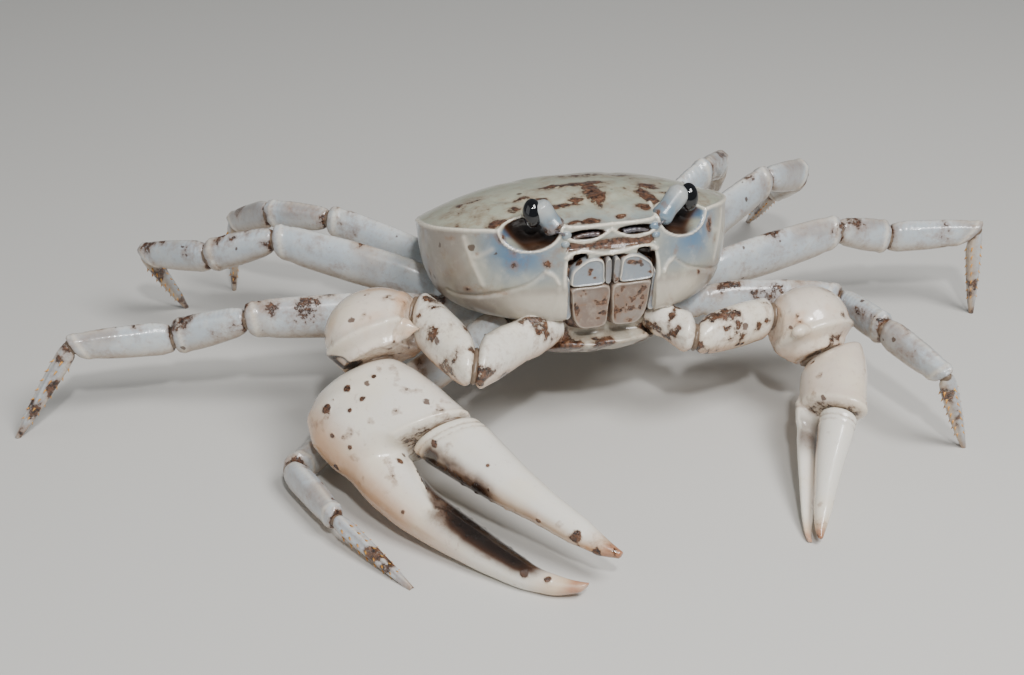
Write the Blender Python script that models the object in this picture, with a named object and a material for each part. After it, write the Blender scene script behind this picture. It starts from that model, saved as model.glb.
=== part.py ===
"""Geothelphusa cinerea, a small pale freshwater crab, as a still life-size model.

The animal faces -Y and stands on the floor z = 0. It is modelled in millimetres and
turned to metres at the end, with its origin on the floor under the middle of its box.
"""
import math

import bmesh
import bpy
from mathutils import Matrix, Vector

# Driving dimensions, in millimetres and degrees
MM = 0.001
CARAPACE_WIDTH = 31.0
CARAPACE_LENGTH = 25.6
DOME_HEIGHT = 3.2
BODY_HEIGHT = 19.5
BODY_PITCH = 17.0
BODY_ROLL = 2.0
BODY_YAW = -2.5
JOINT_GAP = 0.3
SOCKET_GAP = 0.32
TIP_HEIGHT = -0.02

HALF_WIDTH = CARAPACE_WIDTH / 2
FRONT_Y = -12.5
REAR_Y = FRONT_Y + CARAPACE_LENGTH

# Body landmarks of the animal's left side, in the body's own frame
EYES = {"right": (7.3, -11.2, 1.5), "left": (8.6, -11.2, 1.5)}
EYE_RADII = (0.92, 0.95, 1.36)
STALK_BASE = (5.9, -12.0, -0.35)
STALK_ROWS = (
    (0.0, -0.90, 0.90, 0.85),
    (0.3, -0.85, 0.85, 0.80),
    (0.7, -1.05, 1.05, 0.90),
    (1.0, -1.25, 1.25, 0.96),
)
ORBIT_CENTRE = (7.7, -11.7, 0.1)
ORBIT_RADII = (2.7, 1.9, 1.85)
SLOT_CENTRE = (2.5, -12.9, -1.05)
SLOT_RADII = (1.8, 1.1, 0.5)
MOUTH_HALF_WIDTH = 4.4
MOUTH_TOP = -3.3
MOUTH_SPLIT = -5.75
MOUTH_BOTTOM = -10.4
MOUTH_Y = -12.2
MOUTH_SLANT = 17.0

# Hips in the body's own frame, first the claw's, then the four walking legs'
CLAW_HIP = (5.2, -8.6, -9.8)
LEG_HIPS = ((8.5, -5.2, -9.6), (9.2, -0.8, -9.3), (8.8, 3.8, -9.0), (7.2, 8.0, -8.4))

# Lengths of merus with coxa and ischium, carpus, propodus and dactyl of each leg
LEG_PARTS = ("merus", "carpus", "propodus", "dactyl")
LEG_LENGTHS = (
    (18.7, 7.8, 8.6, 9.9),
    (22.8, 8.0, 9.6, 10.8),
    (21.0, 7.8, 9.4, 10.5),
    (17.0, 7.0, 8.6, 9.4),
)
LEG_STOUTNESS = (0.95, 1.0, 0.97, 0.88)
REACH = {"right": 1.03, "left": 0.97}

# Heading and pitch of each part; the dactyl's pitch is what brings its tip to the floor
LEG_POSE = {
    "right": (
        ((176, -31), (-140, 0), (-78, 0), -65),
        ((167, 1), (149, -20), (175, 2), 179),
        ((149, 12), (145, -21), (126, -15), 43),
        ((142, 16), (137, -6), (110, -27), 98),
    ),
    "left": (
        ((-9, -6), (-84, 2), (-78, -7), 4),
        ((7, 4), (10, -19), (-24, 5), 14),
        ((22, 15), (31, -15), (82, -37), 84),
        ((24, 24), (49, -18), (71, -46), 59),
    ),
}

# Rows of each leg part: place along it, half height, half thickness
LEG_ROWS = {
    "merus": (
        (0.0, 1.70, 1.45),
        (0.12, 1.95, 1.60),
        (0.22, 1.75, 1.35),
        (0.34, 2.15, 1.40),
        (0.60, 2.30, 1.40),
        (0.84, 2.10, 1.35),
        (0.95, 1.90, 1.35),
        (1.0, 1.55, 1.15),
    ),
    "carpus": (
        (0.0, 1.15, 1.00),
        (0.15, 1.50, 1.20),
        (0.50, 1.75, 1.25),
        (0.88, 1.85, 1.25),
        (1.0, 1.60, 1.10),
    ),
    "propodus": (
        (0.0, 1.45, 1.00),
        (0.15, 1.75, 1.15),
        (0.55, 1.65, 1.10),
        (0.90, 1.40, 1.00),
        (1.0, 1.15, 0.85),
    ),
    "dactyl": (
        (0.0, 0.80, 0.65),
        (0.12, 0.92, 0.72),
        (0.45, 0.78, 0.62),
        (0.80, 0.50, 0.42),
        (1.0, 0.27, 0.27),
    ),
}
LEG_SIDES = 10

# The claws: joints in the standing frame, and the direction from fixed to movable finger
CLAWS = {
    "right": {
        "ischium_end": (-15.4, -16.4, 13.3),
        "merus_end": (-18.1, -7.3, 14.4),
        "carpus_centre": (-22.0, -7.4, 13.1),
        "carpus_radii": (5.0, 4.5, 4.4),
        "wrist": (-22.8, -8.6, 10.6),
        "wrist_normal": (0.10, -0.75, -0.65),
        "tip": (-12.0, -35.5, 1.35),
        "up": (0.816, 0.132, 0.562),
        "depth": 1.0,
        "belly": 1.0,
        "crest": 0.0,
        "ridge": 0.0,
        "teeth": 1.0,
        "gape": 1.0,
        "stoutness": 1.0,
        "tooth": (1.0, -0.55, 0.15),
    },
    "left": {
        "ischium_end": (7.1, -15.6, 11.5),
        "merus_end": (16.3, -13.7, 11.0),
        "carpus_centre": (19.7, -15.2, 10.1),
        "carpus_radii": (4.1, 3.9, 4.0),
        "wrist": (19.9, -17.0, 7.3),
        "wrist_normal": (0.05, -0.75, -0.65),
        "tip": (9.9, -35.0, 0.15),
        "up": (0.529, -0.511, 0.593),
        "depth": 0.90,
        "belly": 0.25,
        "crest": 0.19,
        "ridge": 0.05,
        "gape": 0.50,
        "teeth": 0.35,
        "stoutness": 0.86,
        "tooth": (-1.0, -0.45, 0.3),
    },
}
CLAW_SIDES = 14

# Claw rows in shares of the chela's length: place, lower edge, upper edge, half thickness
PALM_ROWS = (
    (0.0, -0.118, 0.052, 0.075),
    (0.10, -0.200, 0.068, 0.105),
    (0.28, -0.270, 0.085, 0.132),
    (0.55, -0.308, 0.100, 0.140),
    (0.85, -0.308, 0.106, 0.128),
    (1.0, -0.295, 0.098, 0.112),
)
FIXED_FINGER_ROWS = (
    (0.12, -0.285, -0.150, 0.075),
    (0.33, -0.302, -0.118, 0.095),
    (0.46, -0.280, -0.128, 0.080),
    (0.60, -0.240, -0.104, 0.066),
    (0.74, -0.192, -0.082, 0.052),
    (0.87, -0.138, -0.058, 0.038),
    (0.96, -0.078, -0.014, 0.024),
    (1.0, -0.022, 0.016, 0.013),
)
FINGER_START = 0.335
FINGER_ROWS = (
    (0.0, -0.098, 0.088, 0.078),
    (0.08, -0.104, 0.088, 0.084),
    (0.20, -0.100, 0.074, 0.074),
    (0.40, -0.090, 0.052, 0.064),
    (0.60, -0.070, 0.036, 0.052),
    (0.78, -0.058, 0.028, 0.040),
    (0.93, -0.038, 0.012, 0.025),
    (1.0, -0.014, 0.008, 0.011),
)
CLAW_TEETH = 6

COLOURS = {
    "shell": (0.62, 0.68, 0.60, 1.0),
    "claw": (0.86, 0.74, 0.60, 1.0),
    "leg": (0.66, 0.72, 0.75, 1.0),
    "mouth": (0.50, 0.44, 0.40, 1.0),
    "eye": (0.01, 0.01, 0.012, 1.0),
}
ROUGHNESS = {"shell": 0.35, "claw": 0.3, "leg": 0.3, "mouth": 0.45, "eye": 0.08}

for old in list(bpy.data.objects):
    bpy.data.objects.remove(old, do_unlink=True)

crab = bpy.data.collections.new("geothelphusa_cinerea")
bpy.context.scene.collection.children.link(crab)


def make_material(name):
    """One Principled material for each kind of surface."""
    material = bpy.data.materials.new(name)
    material.use_nodes = True
    shader = material.node_tree.nodes["Principled BSDF"]
    shader.inputs["Base Color"].default_value = COLOURS[name]
    shader.inputs["Roughness"].default_value = ROUGHNESS[name]
    shader.inputs["Metallic"].default_value = 0.0
    return material


MATERIALS = {name: make_material(name) for name in COLOURS}

# The plane that feet and claws are cut flat on
FLOOR = (Vector((0, 0, 0)), Vector((0, 0, -1)))

# The body stands pitched up in front, rolled a little and turned a little to its right
pitch = math.radians(BODY_PITCH)
roll = math.radians(BODY_ROLL)
yaw = math.radians(BODY_YAW)
BODY = (
    Matrix.Translation((0, 0, BODY_HEIGHT))
    @ Matrix.Rotation(yaw, 4, "Z")
    @ Matrix.Rotation(roll, 4, "Y")
    @ Matrix.Rotation(-pitch, 4, "X")
)
# The mouth leans back at its lower end
MOUTH = (
    BODY
    @ Matrix.Translation((0, MOUTH_Y, MOUTH_TOP))
    @ Matrix.Rotation(math.radians(MOUTH_SLANT), 4, "X")
    @ Matrix.Translation((0, -MOUTH_Y, -MOUTH_TOP))
)


def on_side(point, side):
    """A landmark of the left side, mirrored for the right one."""
    sign = 1 if side == "left" else -1
    return Vector((sign * point[0], point[1], point[2]))


def direction(heading, tilt):
    """A unit vector from a compass heading and a pitch in degrees."""
    h = math.radians(heading)
    p = math.radians(tilt)
    return Vector((math.cos(h) * math.cos(p), math.sin(h) * math.cos(p), math.sin(p)))


def add_object(name, bm, kind):
    """Make an object of a finished bmesh, with its faces turned outwards."""
    bmesh.ops.recalc_face_normals(bm, faces=bm.faces)
    mesh = bpy.data.meshes.new(name)
    bm.to_mesh(mesh)
    bm.free()
    thing = bpy.data.objects.new(name, mesh)
    mesh.materials.append(MATERIALS[kind])
    mesh.shade_smooth()
    mesh.set_sharp_from_angle(angle=math.radians(40))
    crab.objects.link(thing)
    return thing


def loft(rings):
    """Close a tube through rings that all have the same number of points."""
    bm = bmesh.new()
    rows = [[bm.verts.new(point) for point in ring] for ring in rings]
    sides = len(rows[0])
    for low, high in zip(rows, rows[1:]):
        for k in range(sides):
            n = (k + 1) % sides
            bm.faces.new((low[k], low[n], high[n], high[k]))
    bm.faces.new(rows[0][::-1])
    bm.faces.new(rows[-1])
    bmesh.ops.triangulate(bm, faces=bm.faces)
    return bm


def plane_hit(point, axis, origin, normal):
    """Slide a point along the axis on to a plane."""
    return point + axis * ((origin - point).dot(normal) / axis.dot(normal))


def limb(start, end, start_normal, end_normal, up, rows, sides, grow=0.0, gaps=(1, 1)):
    """Rings of a limb part between two joint planes.

    A row holds its place, lower edge, upper edge and half thickness. Growing it makes
    the socket that the part sits in.
    """
    axis = (end - start).normalized()
    across = axis.cross(up).normalized()
    top = across.cross(axis).normalized()
    if start_normal.dot(axis) < 0:
        start_normal = -start_normal
    if end_normal.dot(axis) < 0:
        end_normal = -end_normal
    first_plane = start + start_normal * (gaps[0] * JOINT_GAP / 2 - grow)
    last_plane = end - end_normal * (gaps[1] * JOINT_GAP / 2 - grow)
    rings = []
    for place, lower, upper, thick in rows:
        ring = []
        middle = (lower + upper) / 2
        high = (upper - lower) / 2 + grow
        for k in range(sides):
            turn = 2 * math.pi * (k + 0.5) / sides
            offset = across * math.cos(turn) * (thick + grow) + top * (middle + math.sin(turn) * high)
            first = plane_hit(start + offset, axis, first_plane, start_normal)
            last = plane_hit(start + offset, axis, last_plane, end_normal)
            ring.append(first.lerp(last, place))
        rings.append(ring)
    return rings


def even_rows(rows, scale):
    """Rows with equal lower and upper edges, from half heights."""
    return [(place, -high * scale, high * scale, thick * scale) for place, high, thick in rows]


def apply_modifiers(thing):
    """Replace an object's mesh with what its modifiers make of it."""
    graph = bpy.context.evaluated_depsgraph_get()
    result = bpy.data.meshes.new_from_object(thing.evaluated_get(graph))
    thing.modifiers.clear()
    thing.data = result


def keep_largest(thing):
    """Drop all but the largest closed surface, and merge points that coincide."""
    bm = bmesh.new()
    bm.from_mesh(thing.data)
    bmesh.ops.remove_doubles(bm, verts=bm.verts, dist=0.01)
    bmesh.ops.dissolve_degenerate(bm, edges=bm.edges, dist=0.01)
    bmesh.ops.triangulate(bm, faces=bm.faces)
    left = set(bm.faces)
    groups = []
    while left:
        group = set()
        queue = [left.pop()]
        while queue:
            face = queue.pop()
            group.add(face)
            for edge in face.edges:
                for other in edge.link_faces:
                    if other in left:
                        left.remove(other)
                        queue.append(other)
        groups.append(group)
    largest = max(groups, key=lambda group: sum(face.calc_area() for face in group))
    scraps = [face for group in groups if group is not largest for face in group]
    if scraps:
        bmesh.ops.delete(bm, geom=scraps, context="FACES")
    bm.to_mesh(thing.data)
    bm.free()


def combine(thing, pieces, operation):
    """One Boolean of an object with a collection of closed mesh objects."""
    holder = bpy.data.collections.new("pieces")
    bpy.context.scene.collection.children.link(holder)
    for piece in pieces:
        for owner in list(piece.users_collection):
            owner.objects.unlink(piece)
        holder.objects.link(piece)
    modifier = thing.modifiers.new("combine", "BOOLEAN")
    modifier.operation = operation
    modifier.operand_type = "COLLECTION"
    modifier.collection = holder
    modifier.solver = "EXACT"
    apply_modifiers(thing)
    for piece in pieces:
        bpy.data.objects.remove(piece, do_unlink=True)
    bpy.data.collections.remove(holder)
    keep_largest(thing)


def trim(thing, point, normal):
    """Cut away what lies beyond a plane and close the cut."""
    bm = bmesh.new()
    bm.from_mesh(thing.data)
    geometry = bm.verts[:] + bm.edges[:] + bm.faces[:]
    cut = bmesh.ops.bisect_plane(
        bm, geom=geometry, dist=0.0005, plane_co=point, plane_no=normal, clear_outer=True
    )
    edges = [item for item in cut["geom_cut"] if isinstance(item, bmesh.types.BMEdge)]
    if edges:
        bmesh.ops.holes_fill(bm, edges=edges, sides=0)
    bmesh.ops.triangulate(bm, faces=bm.faces)
    bm.to_mesh(thing.data)
    bm.free()
    keep_largest(thing)


def ellipsoid(name, matrix, radii, kind, segments=20, rings=12):
    """A sphere stretched to three radii and set by a matrix."""
    bm = bmesh.new()
    bmesh.ops.create_uvsphere(bm, u_segments=segments, v_segments=rings, radius=1.0)
    bmesh.ops.transform(bm, matrix=matrix @ Matrix.Diagonal((*radii, 1.0)), verts=bm.verts)
    bmesh.ops.triangulate(bm, faces=bm.faces)
    return add_object(name, bm, kind)


def cone(name, root, tip, radius, kind, sides=6):
    """A spine or tooth from a root point to a blunt tip."""
    bm = bmesh.new()
    line = tip - root
    bmesh.ops.create_cone(
        bm, cap_ends=True, segments=sides, radius1=radius, radius2=radius * 0.3, depth=line.length
    )
    turn = line.to_track_quat("Z", "Y").to_matrix().to_4x4()
    bmesh.ops.transform(bm, matrix=Matrix.Translation((root + tip) / 2) @ turn, verts=bm.verts)
    bmesh.ops.triangulate(bm, faces=bm.faces)
    return add_object(name, bm, kind)


def slab(name, low, high, bevel, kind):
    """A rounded box between two corners in the frame of the mouth."""
    bm = bmesh.new()
    bmesh.ops.create_cube(bm, size=1.0)
    size = Vector(high) - Vector(low)
    middle = (Vector(high) + Vector(low)) / 2
    bmesh.ops.scale(bm, vec=size, verts=bm.verts)
    bmesh.ops.bevel(bm, geom=bm.edges[:], offset=bevel, segments=2, profile=0.6, affect="EDGES")
    bmesh.ops.transform(bm, matrix=MOUTH @ Matrix.Translation(middle), verts=bm.verts)
    bmesh.ops.triangulate(bm, faces=bm.faces)
    return add_object(name, bm, kind)


# The carapace outline of the left side, from the middle of the front to the middle of the rear
FRONT_HALF = 4.96
HALF_OUTLINE = (
    (0.0, FRONT_Y + 0.15),
    (0.5 * FRONT_HALF, FRONT_Y - 0.15),
    (FRONT_HALF, FRONT_Y + 0.3),
    (7.7, -11.6),
    (10.3, -10.4),
    (13.2, -7.9),
    (14.9, -4.9),
    (HALF_WIDTH, -1.4),
    (14.9, 2.6),
    (13.0, 6.6),
    (10.2, 10.2),
    (6.2, 12.6),
    (0.0, REAR_Y + 0.2),
)
OUTLINE_STEPS = 3


def curve_through(points, steps):
    """A closed Catmull-Rom curve through points, with equal steps between them."""
    count = len(points)
    result = []
    for i in range(count):
        p0, p1, p2, p3 = (Vector(points[(i + k - 1) % count]) for k in range(4))
        for step in range(steps):
            t = step / steps
            result.append(
                0.5 * (2 * p1 + (p2 - p0) * t
                       + (2 * p0 - 5 * p1 + 4 * p2 - p3) * t * t
                       + (3 * p1 - p0 - 3 * p2 + p3) * t ** 3)
            )
    return result


def carapace_outline():
    """The whole outline, left half and mirrored right half."""
    right = [(-x, y) for x, y in reversed(HALF_OUTLINE[1:-1])]
    return curve_through(list(HALF_OUTLINE) + right, OUTLINE_STEPS)


def lower_plane(y):
    """Height of the plane between carapace and thorax in the body's own frame."""
    return -7.7 + 0.13 * y


def margin_height(y):
    """Height of the carapace margin, falling towards the rear."""
    return -1.6 * (max(y, 0.0) / REAR_Y) ** 2


def lower_outline(point):
    """The lower edge of cheeks and flanks under a point of the outline."""
    x = point.x * 0.63
    y = point.y * (0.86 if point.y < 0 else 0.80)
    return Vector((x, y))


DOME_SCALES = (0.985, 0.93, 0.82, 0.66, 0.46, 0.24)
FLANK_TURNS = (12, 28, 45, 60, 74, 85)


def build_carapace():
    """The back shell with cheeks: a dome above the margin and full flanks below it."""
    outline = carapace_outline()
    rings = []
    for scale in reversed(DOME_SCALES):
        ring = []
        for point in outline:
            x, y = point.x * scale, point.y * scale
            rise = DOME_HEIGHT * (1 - scale ** 2.2)
            ring.append(BODY @ Vector((x, y, margin_height(point.y) * scale + rise)))
        rings.append(ring)
    rings.append([BODY @ Vector((p.x, p.y, margin_height(p.y))) for p in outline])
    for turn in FLANK_TURNS:
        a = math.radians(turn)
        ring = []
        for point in outline:
            low = lower_outline(point)
            spot = low.lerp(point, math.cos(a) ** 0.42)
            top = margin_height(point.y)
            z = top + (lower_plane(low.y) - top) * math.sin(a) ** 0.95
            ring.append(BODY @ Vector((spot.x, spot.y, z)))
        rings.append(ring)
    lows = [lower_outline(p) for p in outline]
    rings.append([BODY @ Vector((p.x, p.y, lower_plane(p.y))) for p in lows])
    return add_object("carapace", loft(rings), "shell")


# Scale and depth of the breast's rings below the shell
THORAX_RINGS = ((0.97, JOINT_GAP), (0.985, 1.6), (0.95, 3.0), (0.80, 4.1), (0.5, 4.8))


def build_thorax():
    """The breast plate and the ring of sockets that legs and claws grow from."""
    rings = []
    for scale, drop in THORAX_RINGS:
        ring = []
        for point in carapace_outline():
            low = lower_outline(point)
            x, y = low.x * scale, low.y * scale
            ring.append(BODY @ Vector((x, y, lower_plane(y) - drop)))
        rings.append(ring)
    return add_object("thorax", loft(rings), "shell")


PLEON_PATH = (
    (13.9, -4.4, 4.6),
    (13.3, -6.8, 4.5),
    (12.2, -9.6, 4.2),
    (9.6, -11.9, 3.6),
    (5.0, -12.7, 3.0),
    (0.5, -13.3, 2.3),
    (-3.0, -13.7, 1.2),
)
PLEON_THICKNESS = 0.8
PLEON_SECTION = (
    (-1, -1), (-0.5, -1), (0, -1), (0.5, -1), (1, -1), (1, 0), (0.55, 1), (0, 1), (-0.55, 1), (-1, 0)
)


def build_pleon():
    """The narrow folded abdomen of a male, from the rear margin to under the breast."""
    rings = []
    points = [Vector((0, y, z)) for y, z, _ in PLEON_PATH]
    for i, (y, z, half) in enumerate(PLEON_PATH):
        along = points[min(i + 1, len(points) - 1)] - points[max(i - 1, 0)]
        outward = Vector((0, along.z, -along.y)).normalized()
        if outward.z > 0:
            outward = -outward
        ring = []
        for u, v in PLEON_SECTION:
            spot = points[i] + Vector((u * half, 0, 0)) + outward * (v * PLEON_THICKNESS / 2)
            ring.append(BODY @ spot)
        rings.append(ring)
    return add_object("pleon", loft(rings), "shell")


def build_mouth(side):
    """The outer mouthpart of one side: a long ischium plate, a square merus plate, a slim exopod."""
    sign = 1 if side == "left" else -1

    def plate(name, x0, x1, z0, z1, y0, y1, bevel):
        xs = sorted((sign * x0, sign * x1))
        return slab(name, (xs[0], y0, z0), (xs[1], y1, z1), bevel, "mouth")

    half = MOUTH_HALF_WIDTH
    split = MOUTH_SPLIT
    back = plate(
        "maxilliped_" + side, JOINT_GAP / 2, half, MOUTH_BOTTOM, MOUTH_TOP - 0.4,
        MOUTH_Y + 0.2, MOUTH_Y + 0.9, 0.2,
    )
    front_y = MOUTH_Y - 0.5
    pieces = [
        plate("ischium_plate", JOINT_GAP / 2 + 0.1, 0.84 * half, MOUTH_BOTTOM + 0.15, split - 0.08,
              front_y, MOUTH_Y + 0.6, 0.35),
        plate("merus_plate", JOINT_GAP / 2 + 0.2, 0.94 * half, split + 0.08, MOUTH_TOP - 0.1,
              front_y, MOUTH_Y + 0.6, 0.45),
        plate("exopod", 0.88 * half, half, MOUTH_BOTTOM + 0.3, split - 0.3,
              front_y + 0.15, MOUTH_Y + 0.6, 0.25),
    ]
    combine(back, pieces, "UNION")
    return back


def build_eye(side):
    """A stalk that leans out of the orbit, and the oval cornea on its end."""
    base = BODY @ on_side(STALK_BASE, side)
    centre = BODY @ on_side(EYES[side], side)
    axis = (centre - base).normalized()
    joint = centre - axis * 0.62
    up = BODY.to_3x3() @ Vector((0, 0, 1))
    rings = limb(base, joint, axis, axis, up, STALK_ROWS, 12)
    stalk = add_object("eyestalk_" + side, loft(rings), "shell")
    turn = BODY.to_3x3().to_4x4()
    eye = ellipsoid("eye_" + side, Matrix.Translation(centre) @ turn, EYE_RADII, "eye", 16, 10)
    trim(eye, joint + axis * JOINT_GAP / 2, -axis)
    return stalk, eye


def leg_joints(side, index):
    """Joint points of a walking leg, from its hip to its tip on the floor."""
    joints = [BODY @ on_side(LEG_HIPS[index], side)]
    lengths = [length * REACH[side] for length in LEG_LENGTHS[index]]
    *pose, last_heading = LEG_POSE[side][index]
    for length, (heading, tilt) in zip(lengths, pose):
        joints.append(joints[-1] + direction(heading, tilt) * length)
    drop = (TIP_HEIGHT - joints[-1].z) / lengths[-1]
    last_tilt = math.degrees(math.asin(max(-1.0, drop)))
    joints.append(joints[-1] + direction(last_heading, last_tilt) * lengths[-1])
    return joints


def joint_normals(joints):
    """Planes of the joints: square at both ends, halving the bend in between."""
    ways = [(b - a).normalized() for a, b in zip(joints, joints[1:])]
    normals = [ways[0]]
    normals += [(a + b).normalized() for a, b in zip(ways, ways[1:])]
    normals.append(ways[-1])
    return normals


def leg_up(way):
    """The upper side of a leg part; a steep one keeps its outer side up."""
    up = Vector((0, 0, 1))
    flat = Vector((way.x, way.y, 0)).normalized()
    return up if abs(way.z) < 0.8 else up + flat * 2


def build_leg(side, index):
    """Four parts of a walking leg, and the socket that its root sits in."""
    joints = leg_joints(side, index)
    normals = joint_normals(joints)
    stout = LEG_STOUTNESS[index]
    made = []
    for k, part in enumerate(LEG_PARTS):
        rows = even_rows(LEG_ROWS[part], stout)
        up = leg_up((joints[k + 1] - joints[k]).normalized())
        gaps = (0 if k == 0 else 1, 0 if part == "dactyl" else 1)
        ends = (joints[k], joints[k + 1], normals[k], normals[k + 1])
        rings = limb(*ends, up, rows, LEG_SIDES, gaps=gaps)
        name = "leg_%d_%s_%s" % (index + 1, side, part)
        thing = add_object(name, loft(rings), "leg")
        if part == "dactyl":
            trim(thing, *FLOOR)
        made.append(thing)
        if k == 0:
            wide = limb(*ends, up, rows, LEG_SIDES, grow=SOCKET_GAP)
            socket = add_object("socket", loft(wide), "leg")
    return made, socket


def chela_frame(claw):
    """Length and axes of a claw hand: along it, up across the fingers, and its outer face."""
    wrist = Vector(claw["wrist"])
    tip = Vector(claw["tip"])
    length = (tip - wrist).length
    axis = (tip - wrist).normalized()
    up = Vector(claw["up"])
    up = (up - axis * up.dot(axis)).normalized()
    return wrist, tip, length, axis, up


def build_chela(side):
    """The palm with its fixed finger, and the movable finger, with blunt teeth along both."""
    claw = CLAWS[side]
    wrist, tip, length, axis, up = chela_frame(claw)
    depth = claw["depth"] * length

    def rows(table, crest=0.0):
        """Rows in millimetres; a small claw has less belly below the wrist and more crest above."""
        belly = claw["belly"]
        result = []
        for place, low, high, thick in table:
            rise = high * belly + claw["ridge"] * (1 - place ** 2) if high < 0 else high
            result.append((place, low * belly * depth, (rise + crest) * depth, thick * depth))
        return result

    hinge = wrist + axis * FINGER_START * length
    hinge_normal = (axis * 0.95 - up * 0.31).normalized()
    wrist_normal = Vector(claw["wrist_normal"]).normalized()
    palm_rows = rows(PALM_ROWS, claw["crest"])
    palm_rings = limb(wrist, hinge, wrist_normal, hinge_normal, up, palm_rows, CLAW_SIDES)
    palm = add_object("claw_%s_palm" % side, loft(palm_rings), "claw")

    start = wrist + axis * FIXED_FINGER_ROWS[0][0] * length
    spread = 1.0 - FIXED_FINGER_ROWS[0][0]
    shifted = [((t - FIXED_FINGER_ROWS[0][0]) / spread, low, high, thick)
               for t, low, high, thick in FIXED_FINGER_ROWS]
    finger_rings = limb(start, tip, axis, axis, up, rows(shifted), CLAW_SIDES, gaps=(0, 0))
    fixed = add_object("fixed_finger", loft(finger_rings), "claw")

    base_height = (0.012 + claw["crest"] * 0.75) * depth
    finger_base = plane_hit(hinge + up * base_height, axis, hinge, hinge_normal)
    finger_tip = wrist + axis * length * 1.005 + up * depth * 0.135 * claw["gape"]
    way = (finger_tip - finger_base).normalized()
    finger_rows = [(place, *(depth * size for size in sizes)) for place, *sizes in FINGER_ROWS]
    rings = limb(finger_base, finger_tip, hinge_normal, way, up, finger_rows, CLAW_SIDES, gaps=(1, 0))
    finger = add_object("claw_%s_finger" % side, loft(rings), "claw")

    fixed_teeth = []
    finger_teeth = []
    for k in range(CLAW_TEETH):
        share = 0.50 + 0.36 * k / (CLAW_TEETH - 1)
        size = claw["teeth"] * depth * 0.012 * (1.25 - 0.5 * k / CLAW_TEETH) * (1.15 if k % 2 else 0.9)
        low = between(rows(FIXED_FINGER_ROWS), share, 2)
        spot = wrist + axis * share * length + up * low
        fixed_teeth.append(cone("tooth", spot - up * size * 1.6, spot + up * size, size * 1.3, "claw"))
        along = (share - FINGER_START) / (1 - FINGER_START)
        under = finger_base.lerp(finger_tip, along) + up * between(FINGER_ROWS, along, 1) * depth
        finger_teeth.append(cone("tooth", under + up * size * 1.6, under - up * size, size * 1.3, "claw"))
    combine(palm, [fixed] + fixed_teeth, "UNION")
    combine(finger, finger_teeth, "UNION")
    trim(palm, *FLOOR)
    return palm, finger


def between(table, place, column):
    """Read a column of a table of rows at a place between two rows."""
    for a, b in zip(table, table[1:]):
        if a[0] <= place <= b[0]:
            share = (place - a[0]) / (b[0] - a[0])
            return a[column] + (b[column] - a[column]) * share
    return table[-1][column]


ARM_BASE_ROWS = (
    (0.0, 1.9, 1.8),
    (0.25, 2.1, 1.95),
    (0.40, 1.9, 1.75),
    (0.70, 2.3, 2.05),
    (1.0, 2.35, 2.0),
)
ARM_MERUS_ROWS = (
    (0.0, 2.2, 1.9),
    (0.25, 2.5, 2.15),
    (0.60, 2.8, 2.35),
    (0.88, 3.05, 2.5),
    (1.0, 2.8, 2.3),
)


def build_arm(side):
    """Base, merus and carpus of a claw, with the blunt tooth inside its wrist."""
    claw = CLAWS[side]
    stout = claw["stoutness"]
    hip = BODY @ on_side(CLAW_HIP, side)
    elbow = Vector(claw["ischium_end"])
    end = Vector(claw["merus_end"])
    centre = Vector(claw["carpus_centre"])
    wrist = Vector(claw["wrist"])
    ways = [(elbow - hip).normalized(), (end - elbow).normalized(), (centre - end).normalized()]
    elbow_normal = (ways[0] + ways[1]).normalized()
    end_normal = (ways[1] + ways[2]).normalized()
    up = Vector((0, 0, 1))
    base_rows = even_rows(ARM_BASE_ROWS, stout)
    rings = limb(hip, elbow, ways[0], elbow_normal, up, base_rows, CLAW_SIDES, gaps=(0, 1))
    base = add_object("claw_%s_base" % side, loft(rings), "claw")
    wide = limb(hip, elbow, ways[0], elbow_normal, up, base_rows, CLAW_SIDES, grow=SOCKET_GAP)
    socket = add_object("socket", loft(wide), "claw")
    rings = limb(elbow, end, elbow_normal, end_normal, up, even_rows(ARM_MERUS_ROWS, stout), CLAW_SIDES)
    merus = add_object("claw_%s_merus" % side, loft(rings), "claw")

    carpus = ellipsoid("claw_%s_carpus" % side, Matrix.Translation(centre), claw["carpus_radii"], "claw")
    way = Vector(claw["tooth"]).normalized()
    reach = claw["carpus_radii"][0]
    tooth = cone("tooth", centre + way * reach * 0.7, centre + way * reach * 1.22, 1.0 * stout, "claw", 8)
    combine(carpus, [tooth], "UNION")
    wrist_normal = Vector(claw["wrist_normal"]).normalized()
    trim(carpus, wrist - wrist_normal * JOINT_GAP / 2, wrist_normal)
    trim(carpus, end + end_normal * JOINT_GAP / 2, -end_normal)
    return base, merus, carpus, socket


def mouth_cutter():
    """The square mouth frame that the outer mouthparts fill."""
    return slab("mouth_frame", (-MOUTH_HALF_WIDTH - JOINT_GAP, MOUTH_Y - 2.5, MOUTH_BOTTOM - 1.5),
                (MOUTH_HALF_WIDTH + JOINT_GAP, MOUTH_Y + 0.9 + JOINT_GAP, MOUTH_TOP + 0.2), 0.5, "mouth")


def orbit_cutters():
    """The two orbits, and the slots under the front that the antennules fold into."""
    cutters = []
    for side in ("left", "right"):
        centre = Matrix.Translation(on_side(ORBIT_CENTRE, side))
        cutters.append(ellipsoid("orbit", BODY @ centre, ORBIT_RADII, "shell"))
        slot = Matrix.Translation(on_side(SLOT_CENTRE, side))
        cutters.append(ellipsoid("slot", BODY @ slot, SLOT_RADII, "shell", 14, 8))
    return cutters


def copies(things):
    """Objects of the same shapes, for one more Boolean."""
    made = []
    for thing in things:
        copy = thing.copy()
        copy.data = thing.data.copy()
        crab.objects.link(copy)
        made.append(copy)
    return made


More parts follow.
